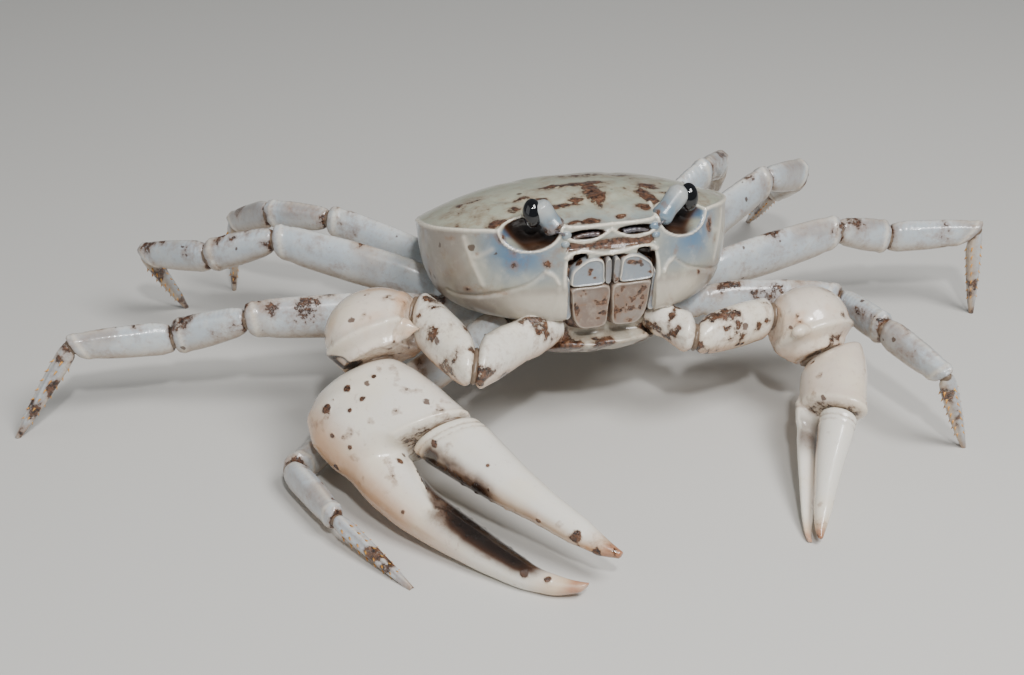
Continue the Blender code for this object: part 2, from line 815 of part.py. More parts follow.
carapace = build_carapace()
thorax = build_thorax()
build_pleon()
mouthparts = []
arm_sockets = []
leg_sockets = []
for side in ("right", "left"):
    mouthparts.append(build_mouth(side))
    build_eye(side)
    *_, arm_socket = build_arm(side)
    arm_sockets.append(arm_socket)
    build_chela(side)
    for index in range(len(LEG_LENGTHS)):
        leg_sockets.append(build_leg(side, index)[1])

for mouthpart in mouthparts:
    combine(mouthpart, copies(arm_sockets), "DIFFERENCE")
sockets = arm_sockets + leg_sockets
combine(carapace, orbit_cutters() + [mouth_cutter()] + copies(sockets), "DIFFERENCE")
combine(thorax, sockets + [mouth_cutter()], "DIFFERENCE")

# Centre the box over the origin and turn millimetres to metres
corners = [vertex.co for thing in crab.objects for vertex in thing.data.vertices]
middle_x = (min(c.x for c in corners) + max(c.x for c in corners)) / 2
middle_y = (min(c.y for c in corners) + max(c.y for c in corners)) / 2
settle = Matrix.Scale(MM, 4) @ Matrix.Translation((-middle_x, -middle_y, 0))
for thing in crab.objects:
    thing.data.transform(settle)
    thing.data.update()
print("box centre", round(middle_x, 3), round(middle_y, 3))
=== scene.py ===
# %% [markdown]
# # A small freshwater crab, modelled from its shell pieces
# The crab stands with its front raised and both claws laid forward on the floor. Its solids
# come packed in a fixed frame. This lesson gives each solid a finer form and a wet shell
# finish, adds the small things a crab is known by, and sets up a plain studio.

import itertools
import math
from types import SimpleNamespace

import bpy
import numpy as np
from mathutils import Matrix, Vector


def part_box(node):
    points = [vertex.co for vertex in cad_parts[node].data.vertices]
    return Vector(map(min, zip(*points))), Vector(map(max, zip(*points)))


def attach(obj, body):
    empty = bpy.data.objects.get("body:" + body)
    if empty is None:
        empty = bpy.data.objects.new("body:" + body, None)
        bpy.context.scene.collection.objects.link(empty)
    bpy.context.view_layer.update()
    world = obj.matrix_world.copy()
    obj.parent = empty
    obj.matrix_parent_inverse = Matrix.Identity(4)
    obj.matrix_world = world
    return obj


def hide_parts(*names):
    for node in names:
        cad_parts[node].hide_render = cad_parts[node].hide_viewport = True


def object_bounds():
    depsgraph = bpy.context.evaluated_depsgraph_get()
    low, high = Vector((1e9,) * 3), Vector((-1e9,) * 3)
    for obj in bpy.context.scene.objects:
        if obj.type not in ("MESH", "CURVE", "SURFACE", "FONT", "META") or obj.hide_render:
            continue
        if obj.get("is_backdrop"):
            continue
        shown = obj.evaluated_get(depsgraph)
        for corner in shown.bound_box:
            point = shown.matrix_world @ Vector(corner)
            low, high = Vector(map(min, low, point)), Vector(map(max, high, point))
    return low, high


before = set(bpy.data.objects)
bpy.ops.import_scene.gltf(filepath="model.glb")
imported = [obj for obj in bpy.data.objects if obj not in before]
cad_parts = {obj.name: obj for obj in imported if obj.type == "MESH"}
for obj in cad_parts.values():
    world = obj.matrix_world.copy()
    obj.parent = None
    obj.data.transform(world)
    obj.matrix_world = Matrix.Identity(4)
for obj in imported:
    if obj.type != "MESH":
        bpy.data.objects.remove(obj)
cad_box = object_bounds()
MM = 0.001
print("nodes in the frame:", len(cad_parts))

# %% [markdown]
# ## The animal's own frame
# A crab's shell is easiest to shape in a frame of its own, level and facing forward. One
# matrix then pitches, rolls and turns it into the pose. The shell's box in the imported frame
# says where the pose stands on the floor, so nothing here depends on how far a leg reaches.

# %% Frames and driving sizes, in millimetres and degrees
CARAPACE_WIDTH = 31.0
CARAPACE_LENGTH = 25.6
DOME_HEIGHT = 3.2
BODY_HEIGHT = 19.5
BODY_PITCH = 17.0
BODY_ROLL = 2.0
BODY_YAW = -2.5
JOINT_GAP = 0.3
MOUTH_SLANT = 17.0
MOUTH_Y = -12.2
MOUTH_TOP = -3.3
MOUTH_SPLIT = -5.75
MOUTH_BOTTOM = -10.4
MOUTH_HALF_WIDTH = 4.4
FRONT_Y = -12.5
REAR_Y = FRONT_Y + CARAPACE_LENGTH
SHELL_BOX_MIDDLE = Vector((-0.0587, -0.7217, 0.0))

shell_low, shell_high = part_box("carapace")
stand = (shell_low + shell_high) / 2 / MM - SHELL_BOX_MIDDLE
STAND = Matrix.Translation((stand.x, stand.y, 0))
BODY = (
    STAND
    @ Matrix.Translation((0, 0, BODY_HEIGHT))
    @ Matrix.Rotation(math.radians(BODY_YAW), 4, "Z")
    @ Matrix.Rotation(math.radians(BODY_ROLL), 4, "Y")
    @ Matrix.Rotation(math.radians(-BODY_PITCH), 4, "X")
)
MOUTH = (
    BODY
    @ Matrix.Translation((0, MOUTH_Y, MOUTH_TOP))
    @ Matrix.Rotation(math.radians(MOUTH_SLANT), 4, "X")
    @ Matrix.Translation((0, -MOUTH_Y, -MOUTH_TOP))
)
SIDES = {"left": 1, "right": -1}
print("the pose is set off from the frame's origin by", [round(v, 2) for v in stand[:2]], "mm")

# %% [markdown]
# ## Tools for sculpting by rule
# A living shell has no flat face to extrude, so most pieces are skins over rings of points,
# and relief is pushed in and out along named paths, as a sculptor runs a tool along a seam.
# Noise is seeded from place alone, so each run gives the same crab.

# %% Moves, noise and soft steps


def moved(points, matrix):
    """Rows of points taken through a matrix."""
    matrix = np.array(matrix)
    return np.asarray(points) @ matrix[:3, :3].T + matrix[:3, 3]


def cloud(points, size, seed=0, octaves=3):
    """Smooth noise from 0 to 1 whose largest blobs have the given size in millimetres."""
    total = np.zeros(len(points))
    weight = 0.0
    for octave in range(octaves):
        scaled = points * (2 ** octave / size)
        cell = np.floor(scaled).astype(np.int64)
        part = scaled - cell
        part = part * part * (3 - 2 * part)
        value = np.zeros(len(points))
        for corner in itertools.product((0, 1), repeat=3):
            share = np.prod(np.where(corner, part, 1 - part), axis=1)
            x, y, z = (cell + corner).T
            key = (x * 374761393 + y * 668265263 + z * 1442695041 + (seed + octave) * 974634777) & 0x7FFFFFFF
            key = ((key ^ (key >> 13)) * 1274126177) & 0x7FFFFFFF
            value += share * (((key ^ (key >> 16)) & 0xFFFF) / 65535.0)
        total += value * 0.5 ** octave
        weight += 0.5 ** octave
    return total / weight


def ramp(values, low, high):
    """0 below one value, 1 above another, and a smooth step in between."""
    share = np.clip((values - low) / (high - low), 0, 1)
    return share * share * (3 - 2 * share)


print("noise at the origin, alike in each run:", round(float(cloud(np.zeros((1, 3)), 1.0)[0]), 4))

# %% Paths and marks


def smooth_path(points, step=0.12, closed=False):
    """A Catmull-Rom curve through a few points, as closely spaced samples."""
    points = np.asarray(points, float)
    if closed:
        padded = np.vstack([points[-1], points, points[:2]])
    else:
        padded = np.vstack([2 * points[0] - points[1], points, 2 * points[-1] - points[-2]])
    result = []
    for p0, p1, p2, p3 in zip(padded, padded[1:], padded[2:], padded[3:]):
        count = max(2, int(np.linalg.norm(p2 - p1) / step))
        t = np.linspace(0, 1, count, endpoint=False)[:, None]
        result.append(0.5 * (2 * p1 + (p2 - p0) * t + (2 * p0 - 5 * p1 + 4 * p2 - p3) * t ** 2
                             + (3 * p1 - p0 - 3 * p2 + p3) * t ** 3))
    if not closed:
        result.append(points[-1:])
    return np.vstack(result)


def nearness(points, path, width):
    """1 on a path and falling off away from it, for every point."""
    reach = 3 * width
    inside = np.all((points > path.min(0) - reach) & (points < path.max(0) + reach), axis=1)
    result = np.zeros(len(points))
    index = np.flatnonzero(inside)
    for chunk in np.array_split(index, max(1, len(index) // 3000)):
        gap = np.linalg.norm(points[chunk, None] - path[None], axis=2).min(axis=1)
        result[chunk] = np.exp(-(gap / width) ** 2)
    return result


def marks(points, places, seed=0):
    """A mask of small uneven marks: each place is x, y, z and a radius."""
    wobble = 0.30 + 1.4 * cloud(points, 0.6, seed)
    result = np.zeros(len(points))
    for x, y, z, radius in places:
        gap = np.linalg.norm(points - (x, y, z), axis=1) * wobble / radius
        result = np.maximum(result, 1 - ramp(gap, 0.45, 1.35))
    return result


def on_surface(points, path):
    """The points of a mesh that lie nearest to a path."""
    nearest = [np.argmin(((points - spot) ** 2).sum(1)) for spot in path]
    track = points[nearest]
    for _ in range(30):
        track[1:-1] = (track[:-2] + 2 * track[1:-1] + track[2:]) / 4
    return track


print("samples on a path 2 mm long:", len(smooth_path([(0, 0, 0), (1, 0, 0), (2, 0, 0)])))

# %% [markdown]
# ## Reading and writing a mesh
# NumPy reads all points of a mesh at once, which keeps the sculpting fast. A mask is one
# number at every point. The finishes read five of them: rim for ivory edges, mud for wet
# earth, tint and warm for the change to a second and a third shell colour, and the fifth for
# painted shade: the dark of a hollow, a crotch or an underside.

# %% Points, normals, masks and new meshes


def points_of(piece):
    """The piece's points, one row each."""
    flat = np.empty(len(piece.data.vertices) * 3)
    piece.data.vertices.foreach_get("co", flat)
    return flat.reshape(-1, 3)


def normals_of(piece):
    """The directions in which the piece's surface faces."""
    flat = np.empty(len(piece.data.vertices) * 3)
    piece.data.vertices.foreach_get("normal", flat)
    return flat.reshape(-1, 3)


def put_points(piece, points):
    """Move the piece's points to new places."""
    piece.data.vertices.foreach_set("co", np.asarray(points, np.float32).ravel())
    piece.data.update()


def paint(piece, **masks):
    """Store masks on the piece's points."""
    for name, values in masks.items():
        layer = piece.data.attributes.get(name) or piece.data.attributes.new(name, "FLOAT", "POINT")
        filled = np.zeros(len(piece.data.vertices), np.float32)
        filled[:] = np.clip(values, 0, 1)
        layer.data.foreach_set("value", filled)


def new_piece(name, points, faces):
    """A mesh object of points and faces."""
    mesh = bpy.data.meshes.new(name)
    mesh.from_pydata(np.asarray(points, float).tolist(), [], [list(face) for face in faces])
    piece = bpy.data.objects.new(name, mesh)
    bpy.context.scene.collection.objects.link(piece)
    mesh.validate()
    return piece


def ring_faces(rings, sides):
    """Quads between rings of points, closed at both ends."""
    start = np.arange(rings - 1)[:, None] * sides
    k = np.arange(sides)
    n = (k + 1) % sides
    quads = np.stack([start + k, start + n, start + sides + n, start + sides + k], -1).reshape(-1, 4)
    return quads.tolist() + [list(range(sides))[::-1], list(range((rings - 1) * sides, rings * sides))]


# %% Evening out and softening


def neighbours(piece):
    """A function that gives, for every point, the mean of the points it shares an edge with."""
    ends = np.empty(len(piece.data.edges) * 2, np.int64)
    piece.data.edges.foreach_get("vertices", ends)
    a, b = ends.reshape(-1, 2).T
    total = len(piece.data.vertices)
    count = np.bincount(np.r_[a, b], minlength=total).clip(1)

    def mean(points):
        columns = [np.bincount(a, c[b], total) + np.bincount(b, c[a], total) for c in points.T]
        return np.stack(columns, axis=1) / count[:, None]

    return mean


def relax(piece, rounds):
    """Even out a mesh without shrinking it: each round smooths and then swells."""
    points = points_of(piece)
    mean = neighbours(piece)
    for _ in range(rounds):
        for push in (0.5, -0.53):
            points = points + push * (mean(points) - points)
    put_points(piece, points)


def soften(piece, mask, rounds):
    """Smooth a mesh where a mask says so, to melt a crease away."""
    points = points_of(piece)
    mean = neighbours(piece)
    for _ in range(rounds):
        points += 0.6 * mask[:, None] * (mean(points) - points)
    put_points(piece, points)


def on_the_floor(piece):
    """Lift the points that relief has pushed under the floor."""
    points = points_of(piece)
    points[:, 2] = np.maximum(points[:, 2], 0.0)
    put_points(piece, points)


# %% Picking, remeshing and cutting


def pick(piece):
    """Make one object the only one that operators act on."""
    bpy.ops.object.select_all(action="DESELECT")
    piece.select_set(True)
    bpy.context.view_layer.objects.active = piece


def apply_all(piece):
    """Make the piece's modifiers part of its mesh."""
    pick(piece)
    for modifier in list(piece.modifiers):
        bpy.ops.object.modifier_apply(modifier=modifier.name)


def remesh(piece, size):
    """Small even faces over the whole piece, which also joins what overlaps."""
    modifier = piece.modifiers.new("even", "REMESH")
    modifier.mode = "VOXEL"
    modifier.voxel_size = size
    apply_all(piece)


def cut_or_join(piece, others, operation):
    """Boolean a piece with others, which are used up."""
    for other in others:
        modifier = piece.modifiers.new("boolean", "BOOLEAN")
        modifier.operation = operation
        modifier.object = other
        modifier.solver = "EXACT"
    apply_all(piece)
    for other in others:
        bpy.data.objects.remove(other, do_unlink=True)


# %% The last step of every piece
finished = []


def settle(piece, finish, *nodes, slot="shell"):
    """Turn a piece from millimetres to metres, finish it, and let it stand for its nodes."""
    piece.data.transform(Matrix.Scale(MM, 4))
    piece.data.materials.clear()
    piece.data.materials.append(finish)
    piece.data.shade_smooth()
    piece.data.update()
    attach(piece, "root")
    if nodes:
        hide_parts(*nodes)
    finished.append(piece)


# %% [markdown]
# ## Wet shell
# Crab shell is chitin hardened with chalk, slightly see-through, and wet. A Principled
# shader with a little subsurface light, a low roughness and a thin coat gives that look.
# Each finish is one graph. Its masks mix three shell colours, ivory rims and painted shade;
# its noises add clouds, freckles, a thin brown stain, and wet earth where the mud mask is high.

# %% Colours and a node helper
PER_METRE = 1 / MM
IVORY = "#ece2cf"
# Wet earth in its own browns; the darkest also serves as painted shade in the gaps between lumps, the palest
# as painted light on their tops
MUD_DARK_AND_SHADED = "#1f100a"
MUD_MID = "#66442f"
MUD_PALE_AND_LIT = "#ad8a6b"
STAIN = "#8a6344"
# Painted shade: brown where the shade mask is low, near black where it is full
BROWN_SHADE = "#4a2f1e"
DEEP_SHADE = "#1a110c"


def linear(code):
    """An sRGB hex colour as the linear colour that a shader takes."""
    parts = [int(code[k:k + 2], 16) / 255 for k in (1, 3, 5)]
    return [p / 12.92 if p <= 0.04045 else ((p + 0.055) / 1.055) ** 2.4 for p in parts] + [1.0]


def add(tree, kind, links=(), **settings):
    """Add a node, set its own settings, then link or fill its inputs."""
    node = tree.nodes.new(kind)
    for key, value in settings.items():
        setattr(node, key, value)
    for key, value in dict(links).items():
        if isinstance(value, bpy.types.NodeSocket):
            tree.links.new(value, node.inputs[key])
        else:
            node.inputs[key].default_value = value
    return node


print("ivory, in linear light:", [round(v, 3) for v in linear(IVORY)[:3]])

# %% Wet shell


def shell_finish(name, first, second, third, patch, freckle, freckle_mm=2.2, grain_mm=0.65,
                 glow=0.06, rough=0.30):
    """Wet crab shell in three colours with clouds, freckles, ivory rims, stains, mud and painted shade."""
    material = bpy.data.materials.new(name)
    material.use_nodes = True
    tree = material.node_tree
    shader = tree.nodes["Principled BSDF"]
    place = add(tree, "ShaderNodeTexCoord").outputs["Object"]
    masks = {
        mask: add(tree, "ShaderNodeAttribute", attribute_name=mask).outputs["Fac"]
        for mask in ("rim", "mud", "tint", "warm", "deep")
    }

    def noise(size_mm, detail=4.0, rough_share=0.55, distortion=0.0):
        settings = {"Vector": place, "Scale": PER_METRE / size_mm, "Detail": detail, "Roughness": rough_share,
                    "Distortion": distortion}
        return add(tree, "ShaderNodeTexNoise", settings).outputs["Fac"]

    def step(value, low, high):
        return add(tree, "ShaderNodeMapRange", {"Value": value, "From Min": low, "From Max": high},
                   interpolation_type="SMOOTHSTEP").outputs["Result"]

    def calc(operation, a, b):
        return add(tree, "ShaderNodeMath", {0: a, 1: b}, operation=operation).outputs[0]

    def mix(share, below, above):
        return add(tree, "ShaderNodeMix", {0: share, 6: below, 7: above}, data_type="RGBA").outputs[2]

    # Soft clouds a few millimetres wide keep the shell from looking like paint
    patches = calc("MULTIPLY", step(noise(5.0, 3.0), 0.46, 0.70), 0.40)
    mottle = calc("MULTIPLY", step(noise(1.4, 6.0, 0.65), 0.48, 0.75), 0.18)
    # Freckles: one uneven dot in each cell, most of them tiny
    wobble = add(tree, "ShaderNodeTexNoise", {"Vector": place, "Scale": PER_METRE / 0.6}).outputs["Color"]
    bent = add(tree, "ShaderNodeVectorMath", {0: wobble, 1: (0.6 * MM,) * 3, 2: place},
               operation="MULTIPLY_ADD").outputs[0]
    cells = add(tree, "ShaderNodeTexVoronoi", {"Vector": bent, "Scale": PER_METRE / freckle_mm})
    chance = add(tree, "ShaderNodeSeparateColor", {0: cells.outputs["Color"]}).outputs[0]
    size = calc("MULTIPLY", calc("POWER", chance, 4.0), 0.22)
    freckles = calc("MULTIPLY", step(calc("SUBTRACT", size, cells.outputs["Distance"]), 0.0, 0.05), 0.85)
    # Mud breaks up into specks at its edge, and thins out into a stain round it
    dirt = calc("ADD", calc("MULTIPLY", masks["mud"], 0.62), noise(grain_mm, 9.0, 0.78))
    mud = step(dirt, 0.88, 0.94)
    stain = calc("MULTIPLY", step(dirt, 0.60, 0.92), 0.55)
    # The lumps that raise the mud's bump below also colour it: painted shade in the low gaps, painted
    # highlight on the tops, over the mud's own browns
    lumps = noise(0.45, 5.0, 0.65)
    mud_colour = mix(step(lumps, 0.36, 0.56), linear(MUD_DARK_AND_SHADED), linear(MUD_MID))
    mud_colour = mix(calc("MULTIPLY", step(lumps, 0.56, 0.72), 0.7), mud_colour, linear(MUD_PALE_AND_LIT))
    colour = linear(first)
    layers = (
        (masks["tint"], linear(second)),
        (masks["warm"], linear(third)),
        (patches, linear(patch)),
        (mottle, linear(IVORY)),
        (masks["rim"], linear(IVORY)),
        (stain, linear(STAIN)),
        (freckles, linear(freckle)),
        (mud, mud_colour),
        # Painted shade, from the fifth mask
        (step(masks["deep"], 0.0, 0.70), linear(BROWN_SHADE)),
        (step(masks["deep"], 0.40, 1.0), linear(DEEP_SHADE)),
    )
    for share, layer in layers:
        colour = mix(share, colour, layer)
    tree.links.new(colour, shader.inputs["Base Color"])

    # Wet mud glitters: it is as glossy as the shell, but lumpy
    fine = add(tree, "ShaderNodeBump", {"Height": noise(0.6, 5.0), "Strength": 0.35, "Distance": 0.02 * MM})
    clods = add(tree, "ShaderNodeBump", {"Height": calc("MULTIPLY", mud, lumps), "Strength": 1.0,
                "Distance": 0.18 * MM, "Normal": fine.outputs[0]})
    tree.links.new(clods.outputs[0], shader.inputs["Normal"])
    shader.inputs["Roughness"].default_value = rough
    shader.inputs["Subsurface Weight"].default_value = glow
    shader.inputs["Subsurface Radius"].default_value = (1.0, 0.7, 0.5)
    shader.inputs["Subsurface Scale"].default_value = 1.0 * MM
    shader.inputs["IOR"].default_value = 1.5
    shader.inputs["Coat Weight"].default_value = 0.7
    shader.inputs["Coat Roughness"].default_value = 0.07
    return material


# Thick shell of the back: a sage top, blue-grey cheeks and grey-cream flanks, with coarse mud
CARAPACE_SHELL = shell_finish("wet_carapace_shell", "#aeb09b", "#4c6f8e", "#8f867b", "#c9c4ac", "#4a3526",
                              freckle_mm=2.2, grain_mm=0.85)
# Smooth claws: cool ivory with peach undersides and amber tips, the glossiest of all
CLAW_SHELL = shell_finish("wet_claw_shell", "#e8e3d8", "#c9935f", "#a04c12", "#ecdfc4", "#4a2818",
                          freckle_mm=2.3, rough=0.26)
# Thin shell of the legs: blue-white, warm below, with a film of dried earth above; light glows through
LEG_SHELL = shell_finish("wet_leg_shell", "#b7c0c6", "#bda588", "#85664a", "#cfccc2", "#472c1c",
                         freckle_mm=1.5, glow=0.15)
# Mouth plates: blue-grey above, brown-grey below, with small freckles
MOUTH_SHELL = shell_finish("wet_mouth_plate_shell", "#87929b", "#77604f", "#aba08f", "#9c9a92", "#3c2416",
                           freckle_mm=1.3)
print("finishes:", len(bpy.data.materials))

# %% [markdown]
# ## Cornea, joint skin and spinules
# The cornea is smooth, black and polished. The skin in the joints is thin, grey and a little
# brown where earth has dried in its folds. The spinules on the feet are amber chitin. All
# three are too small for freckles or mud, so two near colours in soft clouds are enough.

# %% Small finishes


def plain_finish(name, colour, other, size_mm, rough, coat=0.0, glow=0.0):
    """Two near colours in small clouds, for things too small to hold a pattern."""
    material = bpy.data.materials.new(name)
    material.use_nodes = True
    tree = material.node_tree
    shader = tree.nodes["Principled BSDF"]
    place = add(tree, "ShaderNodeTexCoord").outputs["Object"]
    blobs = add(tree, "ShaderNodeTexNoise", {"Vector": place, "Scale": PER_METRE / size_mm, "Detail": 3.0})
    mixed = add(tree, "ShaderNodeMix", {0: blobs.outputs["Fac"], 6: linear(colour), 7: linear(other)},
                data_type="RGBA")
    tree.links.new(mixed.outputs[2], shader.inputs["Base Color"])
    shader.inputs["Roughness"].default_value = rough
    shader.inputs["Coat Weight"].default_value = coat
    shader.inputs["Subsurface Weight"].default_value = glow
    shader.inputs["Subsurface Scale"].default_value = MM
    return material


# A clear hard skin over a dark eye: black, with one sharp glint
CORNEA = plain_finish("polished_cornea", "#050608", "#0d0f14", 0.6, 0.06, coat=0.6)
# Soft folded skin: dull and brownish, so that a joint reads as a dark line
JOINT_SKIN = plain_finish("joint_skin", "#4a3324", "#8d7c69", 0.5, 0.35)
# Chitin without chalk: amber, and a little see-through
SPINULE = plain_finish("amber_spinule", "#b8732a", "#e0ac5c", 0.5, 0.3, glow=0.15)
print("finishes in all:", len(bpy.data.materials))

# %% [markdown]
# ## The carapace
# A crab's back shell folds round its front and sides into the cheeks, so it is one piece. It
# is drawn as rings over one outline: they shrink and rise into the dome above the margin,
# and draw in and fall below it. Orbits, the slots of the small feelers and the mouth frame
# are cut out, and a fine voxel remesh gives even faces to sculpt on.

# %% Outline and rings
FRONT_HALF = 4.96
HALF_OUTLINE = (
    (0.0, FRONT_Y + 0.15),
    (0.5 * FRONT_HALF, FRONT_Y - 0.15),
    (FRONT_HALF, FRONT_Y + 0.3),
    (7.7, -11.6),
    (10.3, -10.4),
    (13.2, -7.9),
    (14.9, -4.9),
    (CARAPACE_WIDTH / 2, -1.4),
    (14.9, 2.6),
    (13.0, 6.6),
    (10.2, 10.2),
    (6.2, 12.6),
    (0.0, REAR_Y + 0.2),
)
mirrored = [(-x, y) for x, y in reversed(HALF_OUTLINE[1:-1])]
outline = smooth_path(list(HALF_OUTLINE) + mirrored, step=0.5, closed=True)


def margin_height(y):
    """Height of the shell's margin, falling towards the rear."""
    return -1.6 * (np.clip(y, 0, None) / REAR_Y) ** 2


def lower_plane(y):
    """Height of the shell's lower edge."""
    return -7.7 + 0.13 * y


rings = []
for scale in np.sin(np.linspace(0.03, math.pi / 2, 44)):
    x, y = outline.T * scale
    z = margin_height(outline[:, 1]) * scale + DOME_HEIGHT * (1 - scale ** 2.2)
    rings.append(np.c_[x, y, z])
low = outline * np.c_[np.full(len(outline), 0.63), np.where(outline[:, 1] < 0, 0.86, 0.80)]
top = margin_height(outline[:, 1])
for turn in np.radians(np.linspace(4, 90, 34)):
    spot = low + (outline - low) * max(math.cos(turn), 0) ** 0.42
    rings.append(np.c_[spot, top + (lower_plane(low[:, 1]) - top) * math.sin(turn) ** 0.95])
carapace = new_piece("carapace_shell", np.vstack(rings), ring_faces(len(rings), len(outline)))
print("carapace rings:", len(rings), "of", len(outline), "points")

# %% Orbits, feeler slots, breathing holes and mouth frame
ORBIT_CENTRE = np.array((7.7, -11.7, 0.0))
ORBIT_RADII = np.array((2.7, 2.3, 1.85))
SLOT_CENTRE = np.array((2.45, -12.9, -0.78))
SLOT_RADII = np.array((1.95, 1.5, 0.42))
HOLE_CENTRE = np.array((3.15, -12.6, -2.85))
HOLE_RADII = np.array((0.66, 1.3, 0.42))
MOUTH_DEPTH = 0.9
SHELL_VOXEL = 0.16


def ball(name, centre, radii, segments=48):
    """A smooth ellipsoid with its size and place in its mesh."""
    bpy.ops.object.select_all(action="DESELECT")
    bpy.ops.mesh.primitive_uv_sphere_add(segments=segments, ring_count=segments // 2, location=centre,
                                         scale=radii)
    made = bpy.context.object
    made.name = name
    bpy.ops.object.transform_apply(location=True, rotation=True, scale=True)
    return made


cutters = []
for side in SIDES.values():
    mirror = np.array((side, 1, 1))
    cutters.append(ball("orbit", ORBIT_CENTRE * mirror, ORBIT_RADII))
    cutters.append(ball("slot", SLOT_CENTRE * mirror, SLOT_RADII))
    cutters.append(ball("hole", HOLE_CENTRE * mirror, HOLE_RADII))
bpy.ops.mesh.primitive_cube_add(size=1)
mouth_hole = bpy.context.object
mouth_low = Vector((-MOUTH_HALF_WIDTH - 0.05, MOUTH_Y - 2.5, MOUTH_BOTTOM - 2.0))
mouth_high = Vector((MOUTH_HALF_WIDTH + 0.05, MOUTH_Y + MOUTH_DEPTH + JOINT_GAP, MOUTH_TOP + 0.25))
lean = BODY.inverted() @ MOUTH
mouth_hole.data.transform(
    lean @ Matrix.Translation((mouth_low + mouth_high) / 2) @ Matrix.Diagonal((*(mouth_high - mouth_low), 1))
)
cutters.append(mouth_hole)
cut_or_join(carapace, cutters, "DIFFERENCE")
remesh(carapace, SHELL_VOXEL)
relax(carapace, 5)
print("carapace points:", len(carapace.data.vertices))

# %% [markdown]
# ## Relief on the carapace
# Raised lines are what make the face: an ivory rim round each orbit, along the margin and
# over the front, the seam that crosses the cheek, and the ridges above the mouth. Each is a
# path of a few points of the left side, mirrored for the right. The band round an orbit needs
# no path, because it lies where the orbit's own ellipsoid would be a tenth larger.

# %% Paths of the face, in the animal's frame
MARGIN = [(10.4, -10.3, 0.1), (11.5, -9.4, 0.1), (13.0, -8.0, 0.1), (14.3, -6.1, 0.1), (15.1, -4.0, 0.05),
          (15.45, -1.4, 0.0), (15.25, 0.6, 0.0)]
FRONT_LIP = [(4.95, -9.9, 1.15), (4.75, -10.9, 0.8), (4.75, -11.7, 0.4), (4.3, -12.35, 0.05),
             (3.2, -12.6, 0.0), (1.6, -12.62, 0.0), (0.0, -12.45, -0.05)]
SEAM = [(14.3, -5.0, -6.2), (13.6, -6.3, -6.4), (12.9, -7.4, -6.4), (11.6, -8.9, -6.2), (9.7, -10.4, -5.7),
        (8.1, -11.3, -5.2), (7.0, -11.7, -4.5), (6.4, -11.8, -4.0)]
SEAM_END = [(6.4, -11.8, -4.0), (5.9, -11.95, -4.1), (5.5, -12.0, -4.5), (5.3, -12.0, -5.2)]
LOWER_EDGE = [(5.3, -12.0, -5.2), (5.25, -11.8, -6.3), (5.5, -11.4, -7.4), (6.1, -10.7, -8.6)]
CHEEK_FOLD = [(13.1, -8.2, -0.7), (12.7, -8.5, -2.5), (12.2, -8.8, -4.0), (11.8, -9.0, -5.1)]
CHEEK_BRANCH = [(12.7, -8.5, -2.5), (11.6, -9.3, -2.2), (10.8, -9.9, -1.6)]
BROW = [(4.5, -12.4, -0.85), (3.4, -12.5, -1.45), (1.9, -12.5, -1.5), (0.75, -12.5, -0.95),
        (0.0, -12.5, -0.6)]
MOUTH_BROW = [(4.5, -12.3, -2.75), (3.7, -12.4, -2.35), (2.4, -12.5, -2.35), (1.1, -12.5, -2.75),
              (0.0, -12.4, -2.9)]
MOUTH_SIDE = [(4.35, -12.35, -2.8), (4.6, -12.2, -3.6), (4.65, -12.0, -5.0), (4.7, -11.6, -6.6),
              (4.75, -11.0, -8.6)]
# path, width, height, how ivory it is, how muddy
RELIEF = (
    (MARGIN, 0.17, 0.22, 1.0, 0.0),
    (FRONT_LIP, 0.15, 0.22, 1.0, 0.0),
    (SEAM, 0.17, -0.26, 0.25, 0.40),
    (SEAM_END, 0.18, 0.20, 0.7, 0.0),
    (LOWER_EDGE, 0.30, 0.12, 0.2, 0.0),
    (CHEEK_FOLD, 0.30, 0.09, 0.45, 0.0),
    (CHEEK_BRANCH, 0.24, 0.03, 0.30, 0.0),
    (BROW, 0.13, 0.26, 1.0, 0.0),
    (MOUTH_BROW, 0.13, 0.24, 1.0, 0.0),
    (MOUTH_SIDE, 0.15, 0.20, 0.85, 0.0),
)
print("raised or sunk lines on each side:", len(RELIEF))

# %% [markdown]
# ## Mud and colour on the carapace
# Wet earth lies in patches on the back, in the hollows of the face and along its edges. It
# could be painted on by hand. Here each patch is a soft spot with a place, a size and a
# strength, and noise tears its edge, so it stays the same mud wherever the camera stands.
# The same masks lift the patch a little, because wet earth is as thick as the rims.

# %% Where the mud lies
# On the back: x, y, the radius along each, and strength
BACK_MUD = (
    (0.3, -7.5, 1.0, 1.7, 0.95),
    (-0.8, -4.8, 3.0, 0.6, 0.80),
    (-3.3, -4.5, 1.6, 0.5, 0.70),
    (-5.5, -7.6, 1.2, 0.6, 0.70),
    (-3.9, -9.0, 1.6, 0.5, 0.85),
    (-2.1, -8.4, 0.9, 0.4, 0.60),
    (-7.8, -7.7, 0.8, 0.6, 0.60),
    (-9.9, -9.2, 1.1, 0.5, 0.85),
    (5.1, -8.4, 0.8, 1.7, 0.95),
    (6.2, -6.4, 1.1, 0.6, 0.80),
    (4.0, -10.5, 0.9, 0.6, 0.80),
    (7.3, -7.8, 1.2, 0.4, 0.60),
    (1.2, -11.7, 0.5, 0.3, 0.90),
    (-1.9, -12.0, 0.9, 0.3, 0.85),
    (-3.4, -11.9, 0.7, 0.3, 0.80),
    (-6.8, -6.1, 1.8, 0.5, 0.45),
    (14.0, -4.9, 0.8, 0.6, 0.50),
    (-10.7, -2.2, 2.2, 1.2, 0.40),
    (2.0, -1.6, 4.5, 1.4, 0.50),
)
